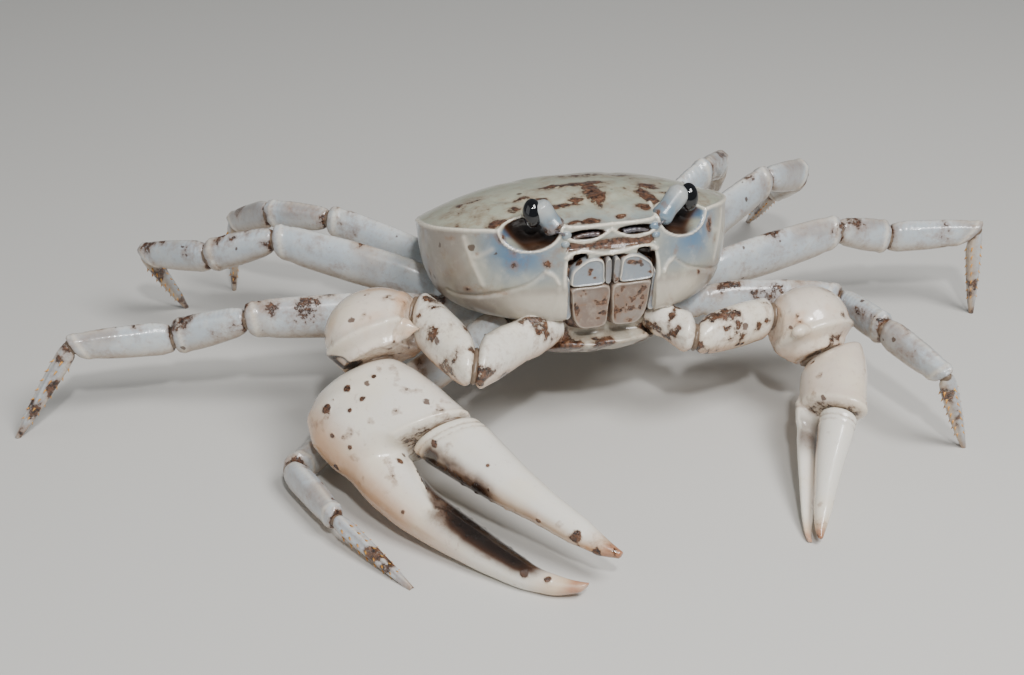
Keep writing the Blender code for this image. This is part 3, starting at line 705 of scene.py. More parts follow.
# On the face: x, y, z, radius, height and strength
FACE_MUD = (
    (-9.2, -10.9, -2.0, 0.6, 0.6, 0.60),
    (-9.2, -10.9, -3.3, 0.7, 0.6, 0.65),
    (-15.0, -2.0, -4.6, 1.1, 0.9, 0.70),
    (-15.2, -2.6, -3.0, 0.4, 0.4, 0.60),
    (-10.1, -10.5, -0.7, 0.6, 0.6, 0.80),
    (-11.5, -8.8, -5.5, 2.0, 0.5, 0.45),
    (10.9, -9.9, -1.6, 0.7, 1.2, 0.95),
    (11.6, -9.0, -3.2, 0.6, 0.8, 0.55),
    (9.4, -10.5, -5.9, 0.35, 0.35, 1.00),
    (-12.9, -7.6, -5.6, 0.7, 0.4, 0.75),
    (-10.4, -10.0, -5.9, 1.2, 0.3, 0.65),
    (-12.0, -8.9, -2.2, 0.3, 0.3, 0.80),
    (-6.2, -11.9, -3.3, 0.5, 0.5, 0.70),
    (-13.8, -6.6, -0.8, 0.9, 0.3, 0.65),
    (6.6, -11.8, -3.4, 0.4, 0.6, 0.65),
    (0.0, -12.4, -1.95, 4.2, 0.55, 1.00),
)
print("mud patches:", len(BACK_MUD), "on the back and", len(FACE_MUD), "on the face")

# %% Raise the rims and cut the seams
points = points_of(carapace)
normals = normals_of(carapace)
push = np.zeros(len(points))
rim = np.zeros(len(points))
mud = np.full(len(points), 0.10)
for path, width, height, ivory, dirt in RELIEF:
    for side in SIDES.values():
        track = on_surface(points, smooth_path(np.array(path) * (side, 1, 1)))
        near = nearness(points, track, width)
        push += height * near
        rim = np.maximum(rim, ivory * near)
        mud = np.maximum(mud, dirt * near)
print("highest rim:", round(float(push.max()), 2), "mm")

# %% Rim and shade the orbits, slots, breathing holes and mouth frame
deep = np.zeros(len(points))
hollow_mud = np.zeros(len(points))
for side in SIDES.values():
    mirror = np.array((side, 1, 1))
    local = (points - ORBIT_CENTRE * mirror) / ORBIT_RADII
    reach = np.linalg.norm(local, axis=1)
    band = np.exp(-((reach - 1.11) / 0.048) ** 2)
    push += 0.24 * band
    rim = np.maximum(rim, band)
    inside = 1 - ramp(reach, 1.02, 1.07)
    outer_low = ramp(local[:, 0] * side - 0.5 * local[:, 2], 0.35, 1.0)
    deep = np.maximum(deep, inside * (0.95 - 0.90 * outer_low))
    floor_mud = ramp(-local[:, 2], 0.45, 1.0) * ramp(-local[:, 0] * side, -0.6, 0.4) * 0.6
    hollow_mud = np.maximum(hollow_mud, inside * floor_mud)
    slot_reach = np.linalg.norm((points - SLOT_CENTRE * mirror) / SLOT_RADII, axis=1)
    deep = np.maximum(deep, 0.85 * (1 - ramp(slot_reach, 1.02, 1.15)) * (np.abs(points[:, 0]) < 4.4))
    hole_reach = np.linalg.norm((points - HOLE_CENTRE * mirror) / HOLE_RADII, axis=1)
    deep = np.maximum(deep, 1 - ramp(hole_reach, 1.02, 1.12))
in_mouth = moved(points, lean.inverted())
behind_doors = (np.abs(in_mouth[:, 0]) < MOUTH_HALF_WIDTH + 0.12) & (in_mouth[:, 2] < MOUTH_TOP + 0.4)
behind_doors &= in_mouth[:, 1] < MOUTH_Y + MOUTH_DEPTH + 1.0
deep = np.maximum(deep, 0.6 * behind_doors * ramp(in_mouth[:, 1], MOUTH_Y - 0.35, MOUTH_Y))
print("points in the dark:", int((deep > 0.5).sum()))

# %% Lay the mud
x, y, z = points.T
ragged = cloud(points, 1.1, 73)
back = ramp(normals[:, 2], 0.35, 0.75)
for centre_x, centre_y, radius_x, radius_y, strength in BACK_MUD:
    blob = np.exp(-(0.85 * (x - centre_x) / radius_x) ** 2 - (0.85 * (y - centre_y) / radius_y) ** 2)
    mud = np.maximum(mud, 1.15 * strength * blob * back * (0.55 + 0.7 * ragged))
for centre_x, centre_y, centre_z, radius, height, strength in FACE_MUD:
    blob = np.exp(-((x - centre_x) ** 2 + (y - centre_y) ** 2) / radius ** 2 - ((z - centre_z) / height) ** 2)
    mud = np.maximum(mud, strength * blob * (1 - back))
brow_floor = ramp(z, -2.35, -2.1) * (1 - ramp(z, -1.5, -1.3)) * (np.abs(x) < 4.4) * (y < -11)
push -= 0.25 * brow_floor
mud = np.maximum(mud, brow_floor * (0.45 + 0.8 * ragged))
front_half = back * (1 - ramp(y, -4.0, 4.0))
mud += 0.30 * front_half * ramp(cloud(points, 1.8, 7), 0.42, 0.75) + 0.12 * back
mud += 0.20 * (1 - back) * ramp(cloud(points, 3.0, 8), 0.55, 0.75)
edge_below = 1 - ramp(z - lower_plane(y), 0.1, 0.9)
mud = np.maximum(mud, 0.42 * edge_below)
mud = mud * (1 - 0.85 * rim)
mud = np.maximum(mud, hollow_mud)
deep = deep * (1 - rim) * (1 - 0.8 * hollow_mud)
push += 0.30 * ramp(mud, 0.5, 0.9) * (cloud(points, 0.6, 71) - 0.30)
print("points under mud:", int((mud > 0.6).sum()))

# %% Lobes of the back, and the move into the sculpted form
# A groove runs each side of the middle, and one across behind the eyes
groove = np.exp(-((np.abs(x) - 4.2 - 0.25 * (y + 2)) / 0.9) ** 2) * ramp(y, -6.5, -3.0) * (1 - ramp(y, 2, 5))
across = np.exp(-((y + 9.3 - 0.06 * x ** 2) / 0.7) ** 2) * (np.abs(x) < 9)
push -= back * (0.10 * groove + 0.10 * across)
push += back * 0.10 * (cloud(points, 4.0, 3) - 0.5)
push += (1 - back) * 0.05 * (cloud(points, 1.8, 5) - 0.5)
put_points(carapace, points + normals * push[:, None])
relax(carapace, 2)

# %% Colour the cheeks and flanks
side_view = 1 - back
cheek = side_view * ramp(z, -6.4, -4.6)
blue = cheek * (0.42 + 0.56 * np.exp(-((np.abs(x) - 8.8) / 3.2) ** 2) * ramp(z, -6.0, -2.5))
front_blue = back * np.exp(-((y + 12.2) / 2.0) ** 2) * 0.45
lower_cheek = side_view * (1 - ramp(z, -6.6, -5.2))
outer = side_view * ramp(np.abs(x), 11.0, 14.0) * 0.8
lobe_light = side_view * (1 - ramp(z, -6.6, -5.6)) * (1 - ramp(np.abs(x), 8.0, 12.0))
rim = np.maximum(rim, 0.30 * lobe_light)
paint(carapace, rim=rim, mud=mud, deep=deep, tint=np.maximum(blue, front_blue) * (1 - outer),
      warm=np.maximum(lower_cheek, outer) * 0.85 + 0.70 * side_view * (1 - blue) * (1 - lobe_light))
carapace.data.transform(BODY)
settle(carapace, CARAPACE_SHELL, "carapace")
print("carapace faces:", len(carapace.data.polygons))

# %% [markdown]
# ## Breast plate and folded tail
# These are seen from below and behind, so the solids' forms are kept: a copy is merged,
# remeshed finely and evened out. The borders between the plates are narrow bands across the
# body, pushed in.

# %% Thorax and pleon
PLATE_VOXEL = 0.22
TAIL_JOINTS = (-9.0, -6.0, -3.0, 0.0, 3.0, 6.0, 9.5, 12.5)
BREAST_SEAMS = (-6.0, -2.6, 1.2, 5.0)


def refined(node, name, size, rounds):
    """A merged and finely remeshed copy of a solid, in millimetres."""
    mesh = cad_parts[node].data.copy()
    mesh.transform(Matrix.Scale(1 / MM, 4))
    copy = bpy.data.objects.new(name, mesh)
    bpy.context.scene.collection.objects.link(copy)
    pick(copy)
    bpy.ops.object.mode_set(mode="EDIT")
    bpy.ops.mesh.select_all(action="SELECT")
    bpy.ops.mesh.remove_doubles(threshold=0.01)
    bpy.ops.object.mode_set(mode="OBJECT")
    remesh(copy, size)
    relax(copy, rounds)
    return copy


for node, name in (("thorax", "breast_plate"), ("pleon", "folded_tail")):
    piece = refined(node, name, PLATE_VOXEL, 12)
    local = moved(points_of(piece), BODY.inverted())
    normals = normals_of(piece)
    push = 0.12 * (cloud(local, 2.0, 8) - 0.5)
    if node == "pleon":
        for joint in TAIL_JOINTS:
            push -= 0.16 * np.exp(-((local[:, 1] - joint) / 0.25) ** 2)
    else:
        for seam in BREAST_SEAMS:
            push -= 0.18 * np.exp(-((local[:, 1] - seam) / 0.3) ** 2)
    put_points(piece, points_of(piece) + normals * push[:, None])
    # The breast plate is painted darker below the shell's lower edge: painted shade under the body
    shaded = ramp(local[:, 2] - lower_plane(local[:, 1]), -1.1, -0.4) * (node == "thorax")
    mud = 0.35 + 0.5 * ramp(cloud(local, 2.0, 9), 0.42, 0.68)
    paint(piece, rim=0.30, warm=0.6, mud=mud, deep=0.55 * shaded)
    settle(piece, CARAPACE_SHELL, node)
    print(name, len(piece.data.polygons), "faces")

# %% [markdown]
# ## Limb parts
# Each part of a leg is a tube between two joint planes, round at both ends, and its rows say
# how deep and thick it is along its length. The rows are eased into a smooth curve. A relief
# rule adds ripples and keels, and the skin of the joint fills the gap between two parts.

# %% A tube between two joint planes


def eased(rows, places, column):
    """One column of a table of rows, read along a curve without corners."""
    fine = np.linspace(0, 1, 401)
    value = np.interp(fine, [row[0] for row in rows], [row[column] for row in rows])
    window = np.hanning(41)
    padded = np.pad(value, 20, mode="reflect", reflect_type="odd")
    return np.interp(places, fine, np.convolve(padded, window / window.sum(), mode="valid"))


def plane_hit(points, axis, origin, normal):
    """Slide points along an axis on to a plane."""
    return points + np.outer((origin - points) @ normal / (axis @ normal), axis)


END_ROUNDING = 0.5
SEAM_GAP = 0.14
FAR_FROM_ENDS = 9.0


def limb_part(name, start, end, start_normal, end_normal, up, rows, sides=40, stations=64, gaps=(1, 1),
              relief=None, section=2.0, rounding=END_ROUNDING, neck=0.70):
    """A limb part as a mesh, with each point's place along it and its angle, and the part's length."""
    vectors = (start, end, start_normal, end_normal, up)
    start, end, start_normal, end_normal, up = (np.array(v, float) for v in vectors)
    length = np.linalg.norm(end - start)
    axis = (end - start) / length
    across = np.cross(axis, up)
    across /= np.linalg.norm(across)
    upper = np.cross(across, axis)
    start_normal = start_normal * np.sign(start_normal @ axis)
    end_normal = end_normal * np.sign(end_normal @ axis)
    first_plane = start + start_normal * gaps[0] * SEAM_GAP / 2
    last_plane = end - end_normal * gaps[1] * SEAM_GAP / 2
    places = (1 - np.cos(np.linspace(0, math.pi, stations))) / 2
    places = 0.55 * places + 0.45 * np.linspace(0, 1, stations)
    lower, top_edge, thick = (eased(rows, places, column) for column in (1, 2, 3))
    angle = 2 * math.pi * np.arange(sides) / sides
    c = np.sign(np.cos(angle)) * np.abs(np.cos(angle)) ** (2 / section)
    s = np.sign(np.sin(angle)) * np.abs(np.sin(angle)) ** (2 / section)
    rings, along, around = [], [], []
    for i, place in enumerate(places):
        near_end = min(place * length if gaps[0] else FAR_FROM_ENDS,
                       (1 - place) * length if gaps[1] else FAR_FROM_ENDS)
        keep = neck + (1 - neck) * math.sqrt(max(0.0, 1 - (1 - min(near_end / rounding, 1.0)) ** 2))
        bump = relief(np.full(sides, place), angle, length) if relief else 0.0
        wide = c * (thick[i] + bump) * keep
        tall = (lower[i] + top_edge[i]) / 2 + s * ((top_edge[i] - lower[i]) / 2 + bump) * keep
        offset = np.outer(wide, across) + np.outer(tall, upper)
        first = plane_hit(start + offset, axis, first_plane, start_normal)
        last = plane_hit(start + offset, axis, last_plane, end_normal)
        rings.append(first + (last - first) * place)
        along.append(np.full(sides, place))
        around.append(angle)
    piece = new_piece(name, np.vstack(rings), ring_faces(stations, sides))
    return piece, np.concatenate(along), np.concatenate(around), length


def even_rows(rows, scale):
    """Rows with equal lower and upper edges, from half heights."""
    return [(place, -high * scale, high * scale, thick * scale) for place, high, thick in rows]


print("limb tools ready")

# %% [markdown]
# ## Walking legs
# Four pairs of legs, each with a long merus, a short carpus, a propodus and a sharp foot. The
# pose is a heading and a pitch for each part, measured from the hip outwards, and the foot's
# pitch is the one that brings its tip to the floor. The meri carry fine cross ripples on
# their upper side, and each part swells into a pale collar before its joint.

# %% Leg pose and sizes, as in the solids
LEG_HIPS = ((8.5, -5.2, -9.6), (9.2, -0.8, -9.3), (8.8, 3.8, -9.0), (7.2, 8.0, -8.4))
LEG_PARTS = ("merus", "carpus", "propodus", "dactyl")
LEG_LENGTHS = (
    (18.7, 7.8, 8.6, 9.9),
    (22.8, 8.0, 9.6, 10.8),
    (21.0, 7.8, 9.4, 10.5),
    (17.0, 7.0, 8.6, 9.4),
)
LEG_STOUTNESS = (0.95, 1.0, 0.97, 0.88)
REACH = {"right": 1.03, "left": 0.97}
TIP_HEIGHT = -0.02
LEG_POSE = {
    "right": (
        ((176, -31), (-140, 0), (-78, 0), -65),
        ((167, 1), (149, -20), (175, 2), 179),
        ((149, 12), (145, -21), (126, -15), 43),
        ((142, 16), (137, -6), (110, -27), 98),
    ),
    "left": (
        ((-9, -6), (-84, 2), (-78, -7), 4),
        ((7, 4), (10, -19), (-24, 5), 14),
        ((22, 15), (31, -15), (82, -37), 84),
        ((24, 24), (49, -18), (71, -46), 59),
    ),
}
LEG_ROWS = {
    "merus": ((0.0, 1.70, 1.45), (0.12, 1.95, 1.60), (0.22, 1.75, 1.35), (0.34, 2.15, 1.40),
              (0.60, 2.30, 1.40), (0.84, 2.10, 1.35), (0.95, 1.90, 1.35), (1.0, 1.55, 1.15)),
    "carpus": ((0.0, 1.15, 1.00), (0.15, 1.50, 1.20), (0.50, 1.75, 1.25), (0.88, 1.85, 1.25),
               (1.0, 1.60, 1.10)),
    "propodus": ((0.0, 1.45, 1.00), (0.15, 1.75, 1.15), (0.55, 1.65, 1.10), (0.90, 1.40, 1.00),
                 (1.0, 1.15, 0.85)),
    "dactyl": ((0.0, 0.80, 0.65), (0.12, 0.92, 0.72), (0.45, 0.78, 0.62), (0.80, 0.50, 0.42),
               (1.0, 0.27, 0.27)),
}


print("longest leg, hip to tip:", round(max(map(sum, LEG_LENGTHS)) * max(REACH.values()), 1), "mm")

# %% Joints of a leg


def direction(heading, pitch):
    """A unit vector from a heading and a pitch in degrees."""
    h, p = math.radians(heading), math.radians(pitch)
    return Vector((math.cos(h) * math.cos(p), math.sin(h) * math.cos(p), math.sin(p)))


def leg_joints(side, index):
    """Joint points of a leg, from its hip to its tip on the floor."""
    x, y, z = LEG_HIPS[index]
    joints = [BODY @ Vector((SIDES[side] * x, y, z))]
    lengths = [length * REACH[side] for length in LEG_LENGTHS[index]]
    *pose, last_heading = LEG_POSE[side][index]
    for length, (heading, pitch) in zip(lengths, pose):
        joints.append(joints[-1] + direction(heading, pitch) * length)
    drop = (TIP_HEIGHT - joints[-1].z) / lengths[-1]
    last_pitch = math.degrees(math.asin(max(-1.0, drop)))
    joints.append(joints[-1] + direction(last_heading, last_pitch) * lengths[-1])
    return joints


def joint_normals(joints):
    """Planes of the joints: square at both ends, halving the bend in between."""
    ways = [(b - a).normalized() for a, b in zip(joints, joints[1:])]
    return [ways[0]] + [(a + b).normalized() for a, b in zip(ways, ways[1:])] + [ways[-1]]


def leg_up(way):
    """The upper side of a leg part; a steep one keeps its outer side up."""
    up = Vector((0, 0, 1))
    return up if abs(way.z) < 0.8 else up + Vector((way.x, way.y, 0)).normalized() * 2


# %% Relief of the leg parts


def leg_relief(part):
    """How far the surface of a leg part is pushed out, by place along it and angle round it."""

    def relief(place, angle, length):
        upper = ramp(np.sin(angle), 0.1, 0.8)
        collar = 0.06 * np.exp(-((place * length - (length - 0.8)) / 0.30) ** 2)
        neck = -0.08 * np.exp(-((place * length - (length - 1.7)) / 0.50) ** 2)
        keel = 0.16 * np.exp(-((angle - math.pi / 2) / 0.22) ** 2)
        if part == "merus":
            ripple = 0.030 * np.sin(place * length * 2 * math.pi / 0.62 + 1.5 * np.sin(3 * angle))
            ring = -0.22 * np.exp(-((place * length - 0.20 * length) / 0.30) ** 2)
            ridges = upper * ripple * ramp(place, 0.22, 0.35) + keel * ramp(place, 0.2, 0.4)
            return collar + neck + ring + ridges
        if part == "dactyl":
            return 0.07 * np.cos(5 * angle) * ramp(place, 0.02, 0.15) * (1 - ramp(place, 0.7, 1.0))
        edge = 0.10 * np.exp(-((np.abs(np.cos(angle)) - 0.75) / 0.15) ** 2) * upper
        ripple = 0.020 * np.sin(place * length * 2 * math.pi / 0.55 + 2 * np.sin(2 * angle))
        return 0.7 * (collar + neck) + edge * ramp(place, 0.1, 0.3) + 0.6 * keel + upper * ripple

    return relief


# %% [markdown]
# ## Skin of the joints, and spinules
# Soft folded skin shows in the gap between two shell parts. It is a short barrel across each
# joint plane, a little thinner than the parts, with shallow folds. A bent joint cuts its parts
# at a slant, so its skin has a long oval section. The feet carry rows of small amber spinules:
# one cone is modelled, and its points are copied to each place.

# %% Skin of the joints


def skin_spot(centre, normal, way_in, way_out, up, high, thick, fill=0.9):
    """Place and two half axes of the skin in a joint; a bent joint has a long oval section."""
    normal = normal.normalized()
    across_in = way_in.cross(up).normalized()
    upper_in = across_in.cross(way_in)

    def radius(way):
        return 1 / math.sqrt((way.dot(upper_in) / high) ** 2 + (way.dot(across_in) / thick) ** 2)

    bend = way_out - way_in
    bend = bend.normalized() if bend.length > 0.05 else upper_in
    bend = (bend - normal * bend.dot(normal)).normalized()
    other = normal.cross(bend)
    flat = (bend - way_in * bend.dot(way_in)).normalized()
    stretch = 1 / max(way_in.dot(normal), 0.4)
    return centre, normal, bend * radius(flat) * stretch * fill, other * radius(other) * fill


def joint_skin(name, spots, slot):
    """Skin that fills the joints of one limb: a short barrel across each joint plane."""
    all_points, all_faces = [], []
    sides, depth = 40, 0.45
    for centre, normal, tall, wide in spots:
        base = len(all_points)
        for offset in np.linspace(-depth, depth, 9):
            swell = math.sqrt(1 - 0.75 * (offset / depth) ** 2)
            for k in range(sides):
                turn = 2 * math.pi * k / sides
                fold = swell * (1 + 0.03 * math.sin(9 * turn) * math.cos(offset * 4))
                spot = centre + normal * offset + (wide * math.cos(turn) + tall * math.sin(turn)) * fold
                all_points.append((spot.x, spot.y, max(spot.z, 0.0)))
        all_faces += [[base + v for v in face] for face in ring_faces(9, sides)]
    piece = new_piece(name, all_points, all_faces)
    settle(piece, JOINT_SKIN, slot=slot)


# %% Spinules on the feet
SPINULE_ROWS = 5
SPINULES_PER_ROW = 7
SPINULE_LENGTH = 0.56
SPINULE_RADII = (0.15, 0.03)


def spinules(name, start, end, up, rows, scale):
    """Rows of small amber cones along a foot, pointing to its tip."""
    axis = (end - start).normalized()
    across = axis.cross(up).normalized()
    upper = across.cross(axis).normalized()
    length = (end - start).length
    bpy.ops.object.select_all(action="DESELECT")
    bpy.ops.mesh.primitive_cone_add(vertices=6, radius1=SPINULE_RADII[0], radius2=SPINULE_RADII[1],
                                    depth=SPINULE_LENGTH)
    model = bpy.context.object
    model.data.transform(Matrix.Translation((0, 0, 0.2)))
    points = points_of(model)
    faces = [list(polygon.vertices) for polygon in model.data.polygons]
    bpy.data.objects.remove(model, do_unlink=True)
    all_points, all_faces = [], []
    for row in range(SPINULE_ROWS):
        turn = 2 * math.pi * row / SPINULE_ROWS + 0.3
        for k in range(SPINULES_PER_ROW):
            place = 0.14 + 0.72 * (k + 0.35 * (row % 2)) / SPINULES_PER_ROW
            high = np.interp(place, [r[0] for r in rows], [r[1] for r in rows]) * scale
            thick = np.interp(place, [r[0] for r in rows], [r[2] for r in rows]) * scale
            out = (across * math.cos(turn) * thick + upper * math.sin(turn) * high)
            spot = start + axis * place * length + out * 0.95
            way = (out.normalized() * 0.75 + axis).normalized()
            size = 1.0 - 0.45 * place
            matrix = Matrix.Translation(spot) @ way.to_track_quat("Z", "Y").to_matrix().to_4x4()
            base = len(all_points)
            cone = moved(points * size, matrix)
            cone[:, 2] = np.maximum(cone[:, 2], 0.0)
            all_points += cone.tolist()
            all_faces += [[base + v for v in face] for face in faces]
    piece = new_piece(name, all_points, all_faces)
    settle(piece, SPINULE, slot="leg")


# %% Build the eight legs
leg_faces = 0
for side, index in itertools.product(SIDES, range(4)):
    joints = leg_joints(side, index)
    planes = joint_normals(joints)
    stout = LEG_STOUTNESS[index]
    leg = "leg_%d_%s_" % (index + 1, side)
    skins = []
    for k, part in enumerate(LEG_PARTS):
        way = (joints[k + 1] - joints[k]).normalized()
        up = leg_up(way)
        gaps = (0 if k == 0 else 1, 0 if part == "dactyl" else 1)
        node = leg + part
        rows = even_rows(LEG_ROWS[part], stout)
        piece, along, around, length = limb_part(
            node + "_shell", joints[k], joints[k + 1], planes[k], planes[k + 1], up, rows,
            stations=90 if part == "merus" else 64, gaps=gaps, relief=leg_relief(part), section=2.15,
        )
        relax(piece, 1)
        points = points_of(piece)
        if part == "dactyl":
            on_the_floor(piece)
            points = points_of(piece)
        seed = 10 * index + k + (50 if side == "left" else 0)
        blotch = ramp(cloud(points, 2.6, seed), 0.52, 0.74)
        ends = np.exp(-along * length / 0.25) * (k > 0)
        ends = ends + np.exp(-(1 - along) * length / 0.22) * (part != "dactyl")
        upper = 0.55 + 0.45 * np.sin(around)
        lower_edge = np.exp(-((np.sin(around) + 0.75) / 0.2) ** 2)
        mud = 0.22 + 0.50 * blotch * upper + 0.6 * ends + 0.18 * lower_edge
        film = 0.55 * ramp(cloud(points, 5.0, seed + 5), 0.48, 0.66) * upper
        if part == "dactyl":
            mud = 0.28 + 0.45 * ramp(cloud(points, 1.7, seed), 0.48, 0.66)
            film = 0.15 + 0.6 * ramp(along, 0.75, 1.0)
        collar = np.exp(-(((1 - along) * length - 1.0) / 0.3) ** 2) * (part != "dactyl")
        keel = np.exp(-((around - math.pi / 2) / 0.3) ** 2)
        below = 0.8 * ramp(-np.sin(around), -0.1, 0.9)
        paint(piece, rim=np.maximum(0.5 * collar, 0.35 * keel), mud=mud, tint=below, warm=film)
        settle(piece, LEG_SHELL, node, slot="leg")
        leg_faces += len(piece.data.polygons)
        if part != "dactyl":
            high, thick = np.minimum(LEG_ROWS[part][-1], LEG_ROWS[LEG_PARTS[k + 1]][0])[1:]
            next_way = (joints[k + 2] - joints[k + 1]).normalized()
            skins.append(skin_spot(joints[k + 1], planes[k + 1], way, next_way, up, high * stout,
                                   thick * stout))
        else:
            spinules(leg + "spinules", joints[k], joints[k + 1], up, LEG_ROWS[part], stout)
    joint_skin(leg + "joint_skin", skins, "leg")
print("leg faces:", leg_faces)

# %% [markdown]
# ## Claws
# The right claw is the large one. Its palm swells below and runs on into the fixed finger, so
# both tubes are remeshed into one skin, with blunt teeth along the edge. The movable finger
# is hinged above, and where it bites both carry mud and painted shade. Each claw is built from
# the same functions, because a crab's claws differ in stoutness and not in plan.

# %% Claw sizes, as in the solids
CLAW_HIP = (5.2, -8.6, -9.8)
CLAWS = {
    "right": {
        "ischium_end": (-15.4, -16.4, 13.3), "merus_end": (-18.1, -7.3, 14.4),
        "carpus_centre": (-22.0, -7.4, 13.1), "carpus_radii": (5.0, 4.5, 4.4),
        "wrist": (-22.8, -8.6, 10.6), "wrist_normal": (0.10, -0.75, -0.65),
        "tip": (-12.0, -35.5, 1.35), "up": (0.816, 0.132, 0.562), "depth": 1.0, "belly": 1.0, "crest": 0.0,
        "ridge": 0.0, "teeth": 1.0, "gape": 1.0, "stoutness": 1.0, "dark": 1.0,
        "dark_end": (0.82, 0.93), "groove": 0.0, "collar": 0.16, "blush": 0.06,
        "tooth_foot": (-20.9, -9.9, 14.5), "tooth_tip": (-18.9, -11.6, 15.5), "slit": (-2.9, -1.0, 0.9),
    },
    "left": {
        "ischium_end": (7.1, -15.6, 11.5), "merus_end": (16.3, -13.7, 11.0),
        "carpus_centre": (19.7, -15.2, 10.1), "carpus_radii": (4.1, 3.9, 4.0),
        "wrist": (19.9, -17.0, 7.3), "wrist_normal": (0.05, -0.75, -0.65),
        "tip": (9.9, -35.0, 0.15), "up": (0.529, -0.511, 0.593), "depth": 0.90, "belly": 0.25, "crest": 0.19,
        "ridge": 0.05, "teeth": 0.35, "gape": 0.50, "stoutness": 0.86, "dark": 0.5,
        "dark_end": (0.48, 0.64), "groove": 0.30, "collar": 0.08, "blush": 0.30,
        "tooth_foot": (18.2, -17.2, 11.4), "tooth_tip": (16.3, -18.8, 11.9), "slit": (2.9, -0.6, 0.9),
    },
}
PALM_ROWS = (
    (0.0, -0.118, 0.052, 0.075), (0.10, -0.200, 0.068, 0.105), (0.28, -0.270, 0.085, 0.132),
    (0.55, -0.308, 0.100, 0.140), (0.85, -0.308, 0.106, 0.128), (1.0, -0.295, 0.098, 0.112),
)
FIXED_FINGER_ROWS = (
    (0.12, -0.285, -0.150, 0.075), (0.33, -0.302, -0.118, 0.095), (0.46, -0.280, -0.128, 0.080),
    (0.60, -0.240, -0.104, 0.066), (0.74, -0.192, -0.082, 0.052), (0.87, -0.138, -0.058, 0.038),
    (0.96, -0.078, -0.014, 0.024), (1.0, -0.022, 0.016, 0.013),
)
FINGER_START = 0.335
FINGER_ROWS = (
    (0.0, -0.098, 0.088, 0.078), (0.08, -0.104, 0.088, 0.084), (0.20, -0.100, 0.074, 0.074),
    (0.40, -0.090, 0.052, 0.064), (0.60, -0.070, 0.036, 0.052), (0.78, -0.058, 0.028, 0.040),
    (0.93, -0.038, 0.012, 0.025), (1.0, -0.014, 0.008, 0.011),
)
CLAW_TEETH = 8
CLAW_VOXEL = 0.15
ARM_BASE_ROWS = ((0.0, 1.8, 1.7), (0.25, 2.1, 1.9), (0.40, 1.9, 1.75), (0.70, 2.2, 2.0), (1.0, 2.2, 2.0))
ARM_MERUS_ROWS = ((0.0, 2.1, 1.9), (0.25, 2.4, 2.1), (0.60, 2.5, 2.2), (0.88, 2.4, 2.1), (1.0, 2.1, 1.9))


def standing(point):
    """A point of the pose's own frame, on the frame's floor."""
    return STAND @ Vector(point)


for name, claw in CLAWS.items():
    reach = (standing(claw["tip"]) - standing(claw["wrist"])).length
    print(name, "claw, wrist to tip:", round(reach, 1), "mm")

# %% Marks and ridge of the claws


def between(table, place, column):
    """A column of a table of rows at a place between two rows."""
    return float(np.interp(place, [row[0] for row in table], [row[column] for row in table]))


# Mud drops on the claws, in the pose's own frame: x, y, z and radius
CLAW_MARKS = {
    "right": {
        "palm": ((-28.5, -12.7, 9.3, 0.60), (-26.4, -12.7, 11.1, 0.45), (-25.5, -14.5, 10.8, 0.32),
                 (-26.8, -14.7, 10.0, 0.28), (-23.4, -18.9, 6.4, 0.42), (-28.5, -15.5, 4.8, 0.40),
                 (-24.5, -23.1, 3.9, 0.22), (-27.4, -16.5, 7.3, 0.25), (-28.6, -14.7, 7.7, 0.22),
                 (-24.0, -13.0, 12.0, 0.35), (-16.5, -32.6, 1.9, 0.50), (-14.8, -33.9, 1.8, 0.35)),
        "finger": ((-19.7, -21.7, 6.3, 0.38), (-14.1, -29.4, 4.7, 0.30), (-16.9, -24.1, 7.7, 0.20),
                   (-17.2, -25.3, 6.0, 0.20), (-11.8, -32.5, 4.4, 0.62), (-10.5, -34.1, 3.5, 0.55),
                   (-20.5, -20.0, 8.2, 0.45)),
    },
    "left": {
        "palm": ((17.9, -20.0, 8.6, 0.35), (21.8, -21.0, 7.0, 0.25), (20.0, -22.5, 7.5, 0.22)),
        "finger": ((14.0, -30.2, 3.6, 0.42), (16.2, -27.0, 4.9, 0.22)),
    },
}

# The pale ridge that runs down from the hinge of the large claw on to its fixed finger
PALM_RIDGE = ((-21.8, -17.0, 5.6), (-22.2, -19.0, 5.6), (-22.2, -20.9, 5.4), (-22.1, -22.6, 5.0),
              (-21.9, -24.2, 4.6))


# %% Directions and tubes of a palm


def claw_measures(side):
    """Ends, directions, depth and hinge of a claw's palm and fingers, from its named sizes."""
    claw = CLAWS[side]
    wrist, tip = standing(claw["wrist"]), standing(claw["tip"])
    length = (tip - wrist).length
    axis = (tip - wrist).normalized()
    up = Vector(claw["up"])
    up = (up - axis * up.dot(axis)).normalized()
    return SimpleNamespace(
        wrist=wrist, tip=tip, length=length, axis=axis, up=up, depth=claw["depth"] * length,
        hinge=wrist + axis * FINGER_START * length, hinge_normal=(axis * 0.95 - up * 0.31).normalized(),
    )


def claw_rows(claw, depth, table, crest=0.0):
    """Rows of the palm or fixed finger in millimetres; a slim claw has less belly."""
    result = []
    for place, low, high, thick in table:
        rise = high * claw["belly"] + claw["ridge"] * (1 - place ** 2) if high < 0 else high
        result.append((place, low * claw["belly"] * depth, (rise + crest) * depth, thick * depth))
    return result


def claw_tooth(spot, size):
    """A blunt tooth, wider than it is high."""
    return ball("tooth", spot, (size * 1.9, size * 1.9, size * 1.1), 16)


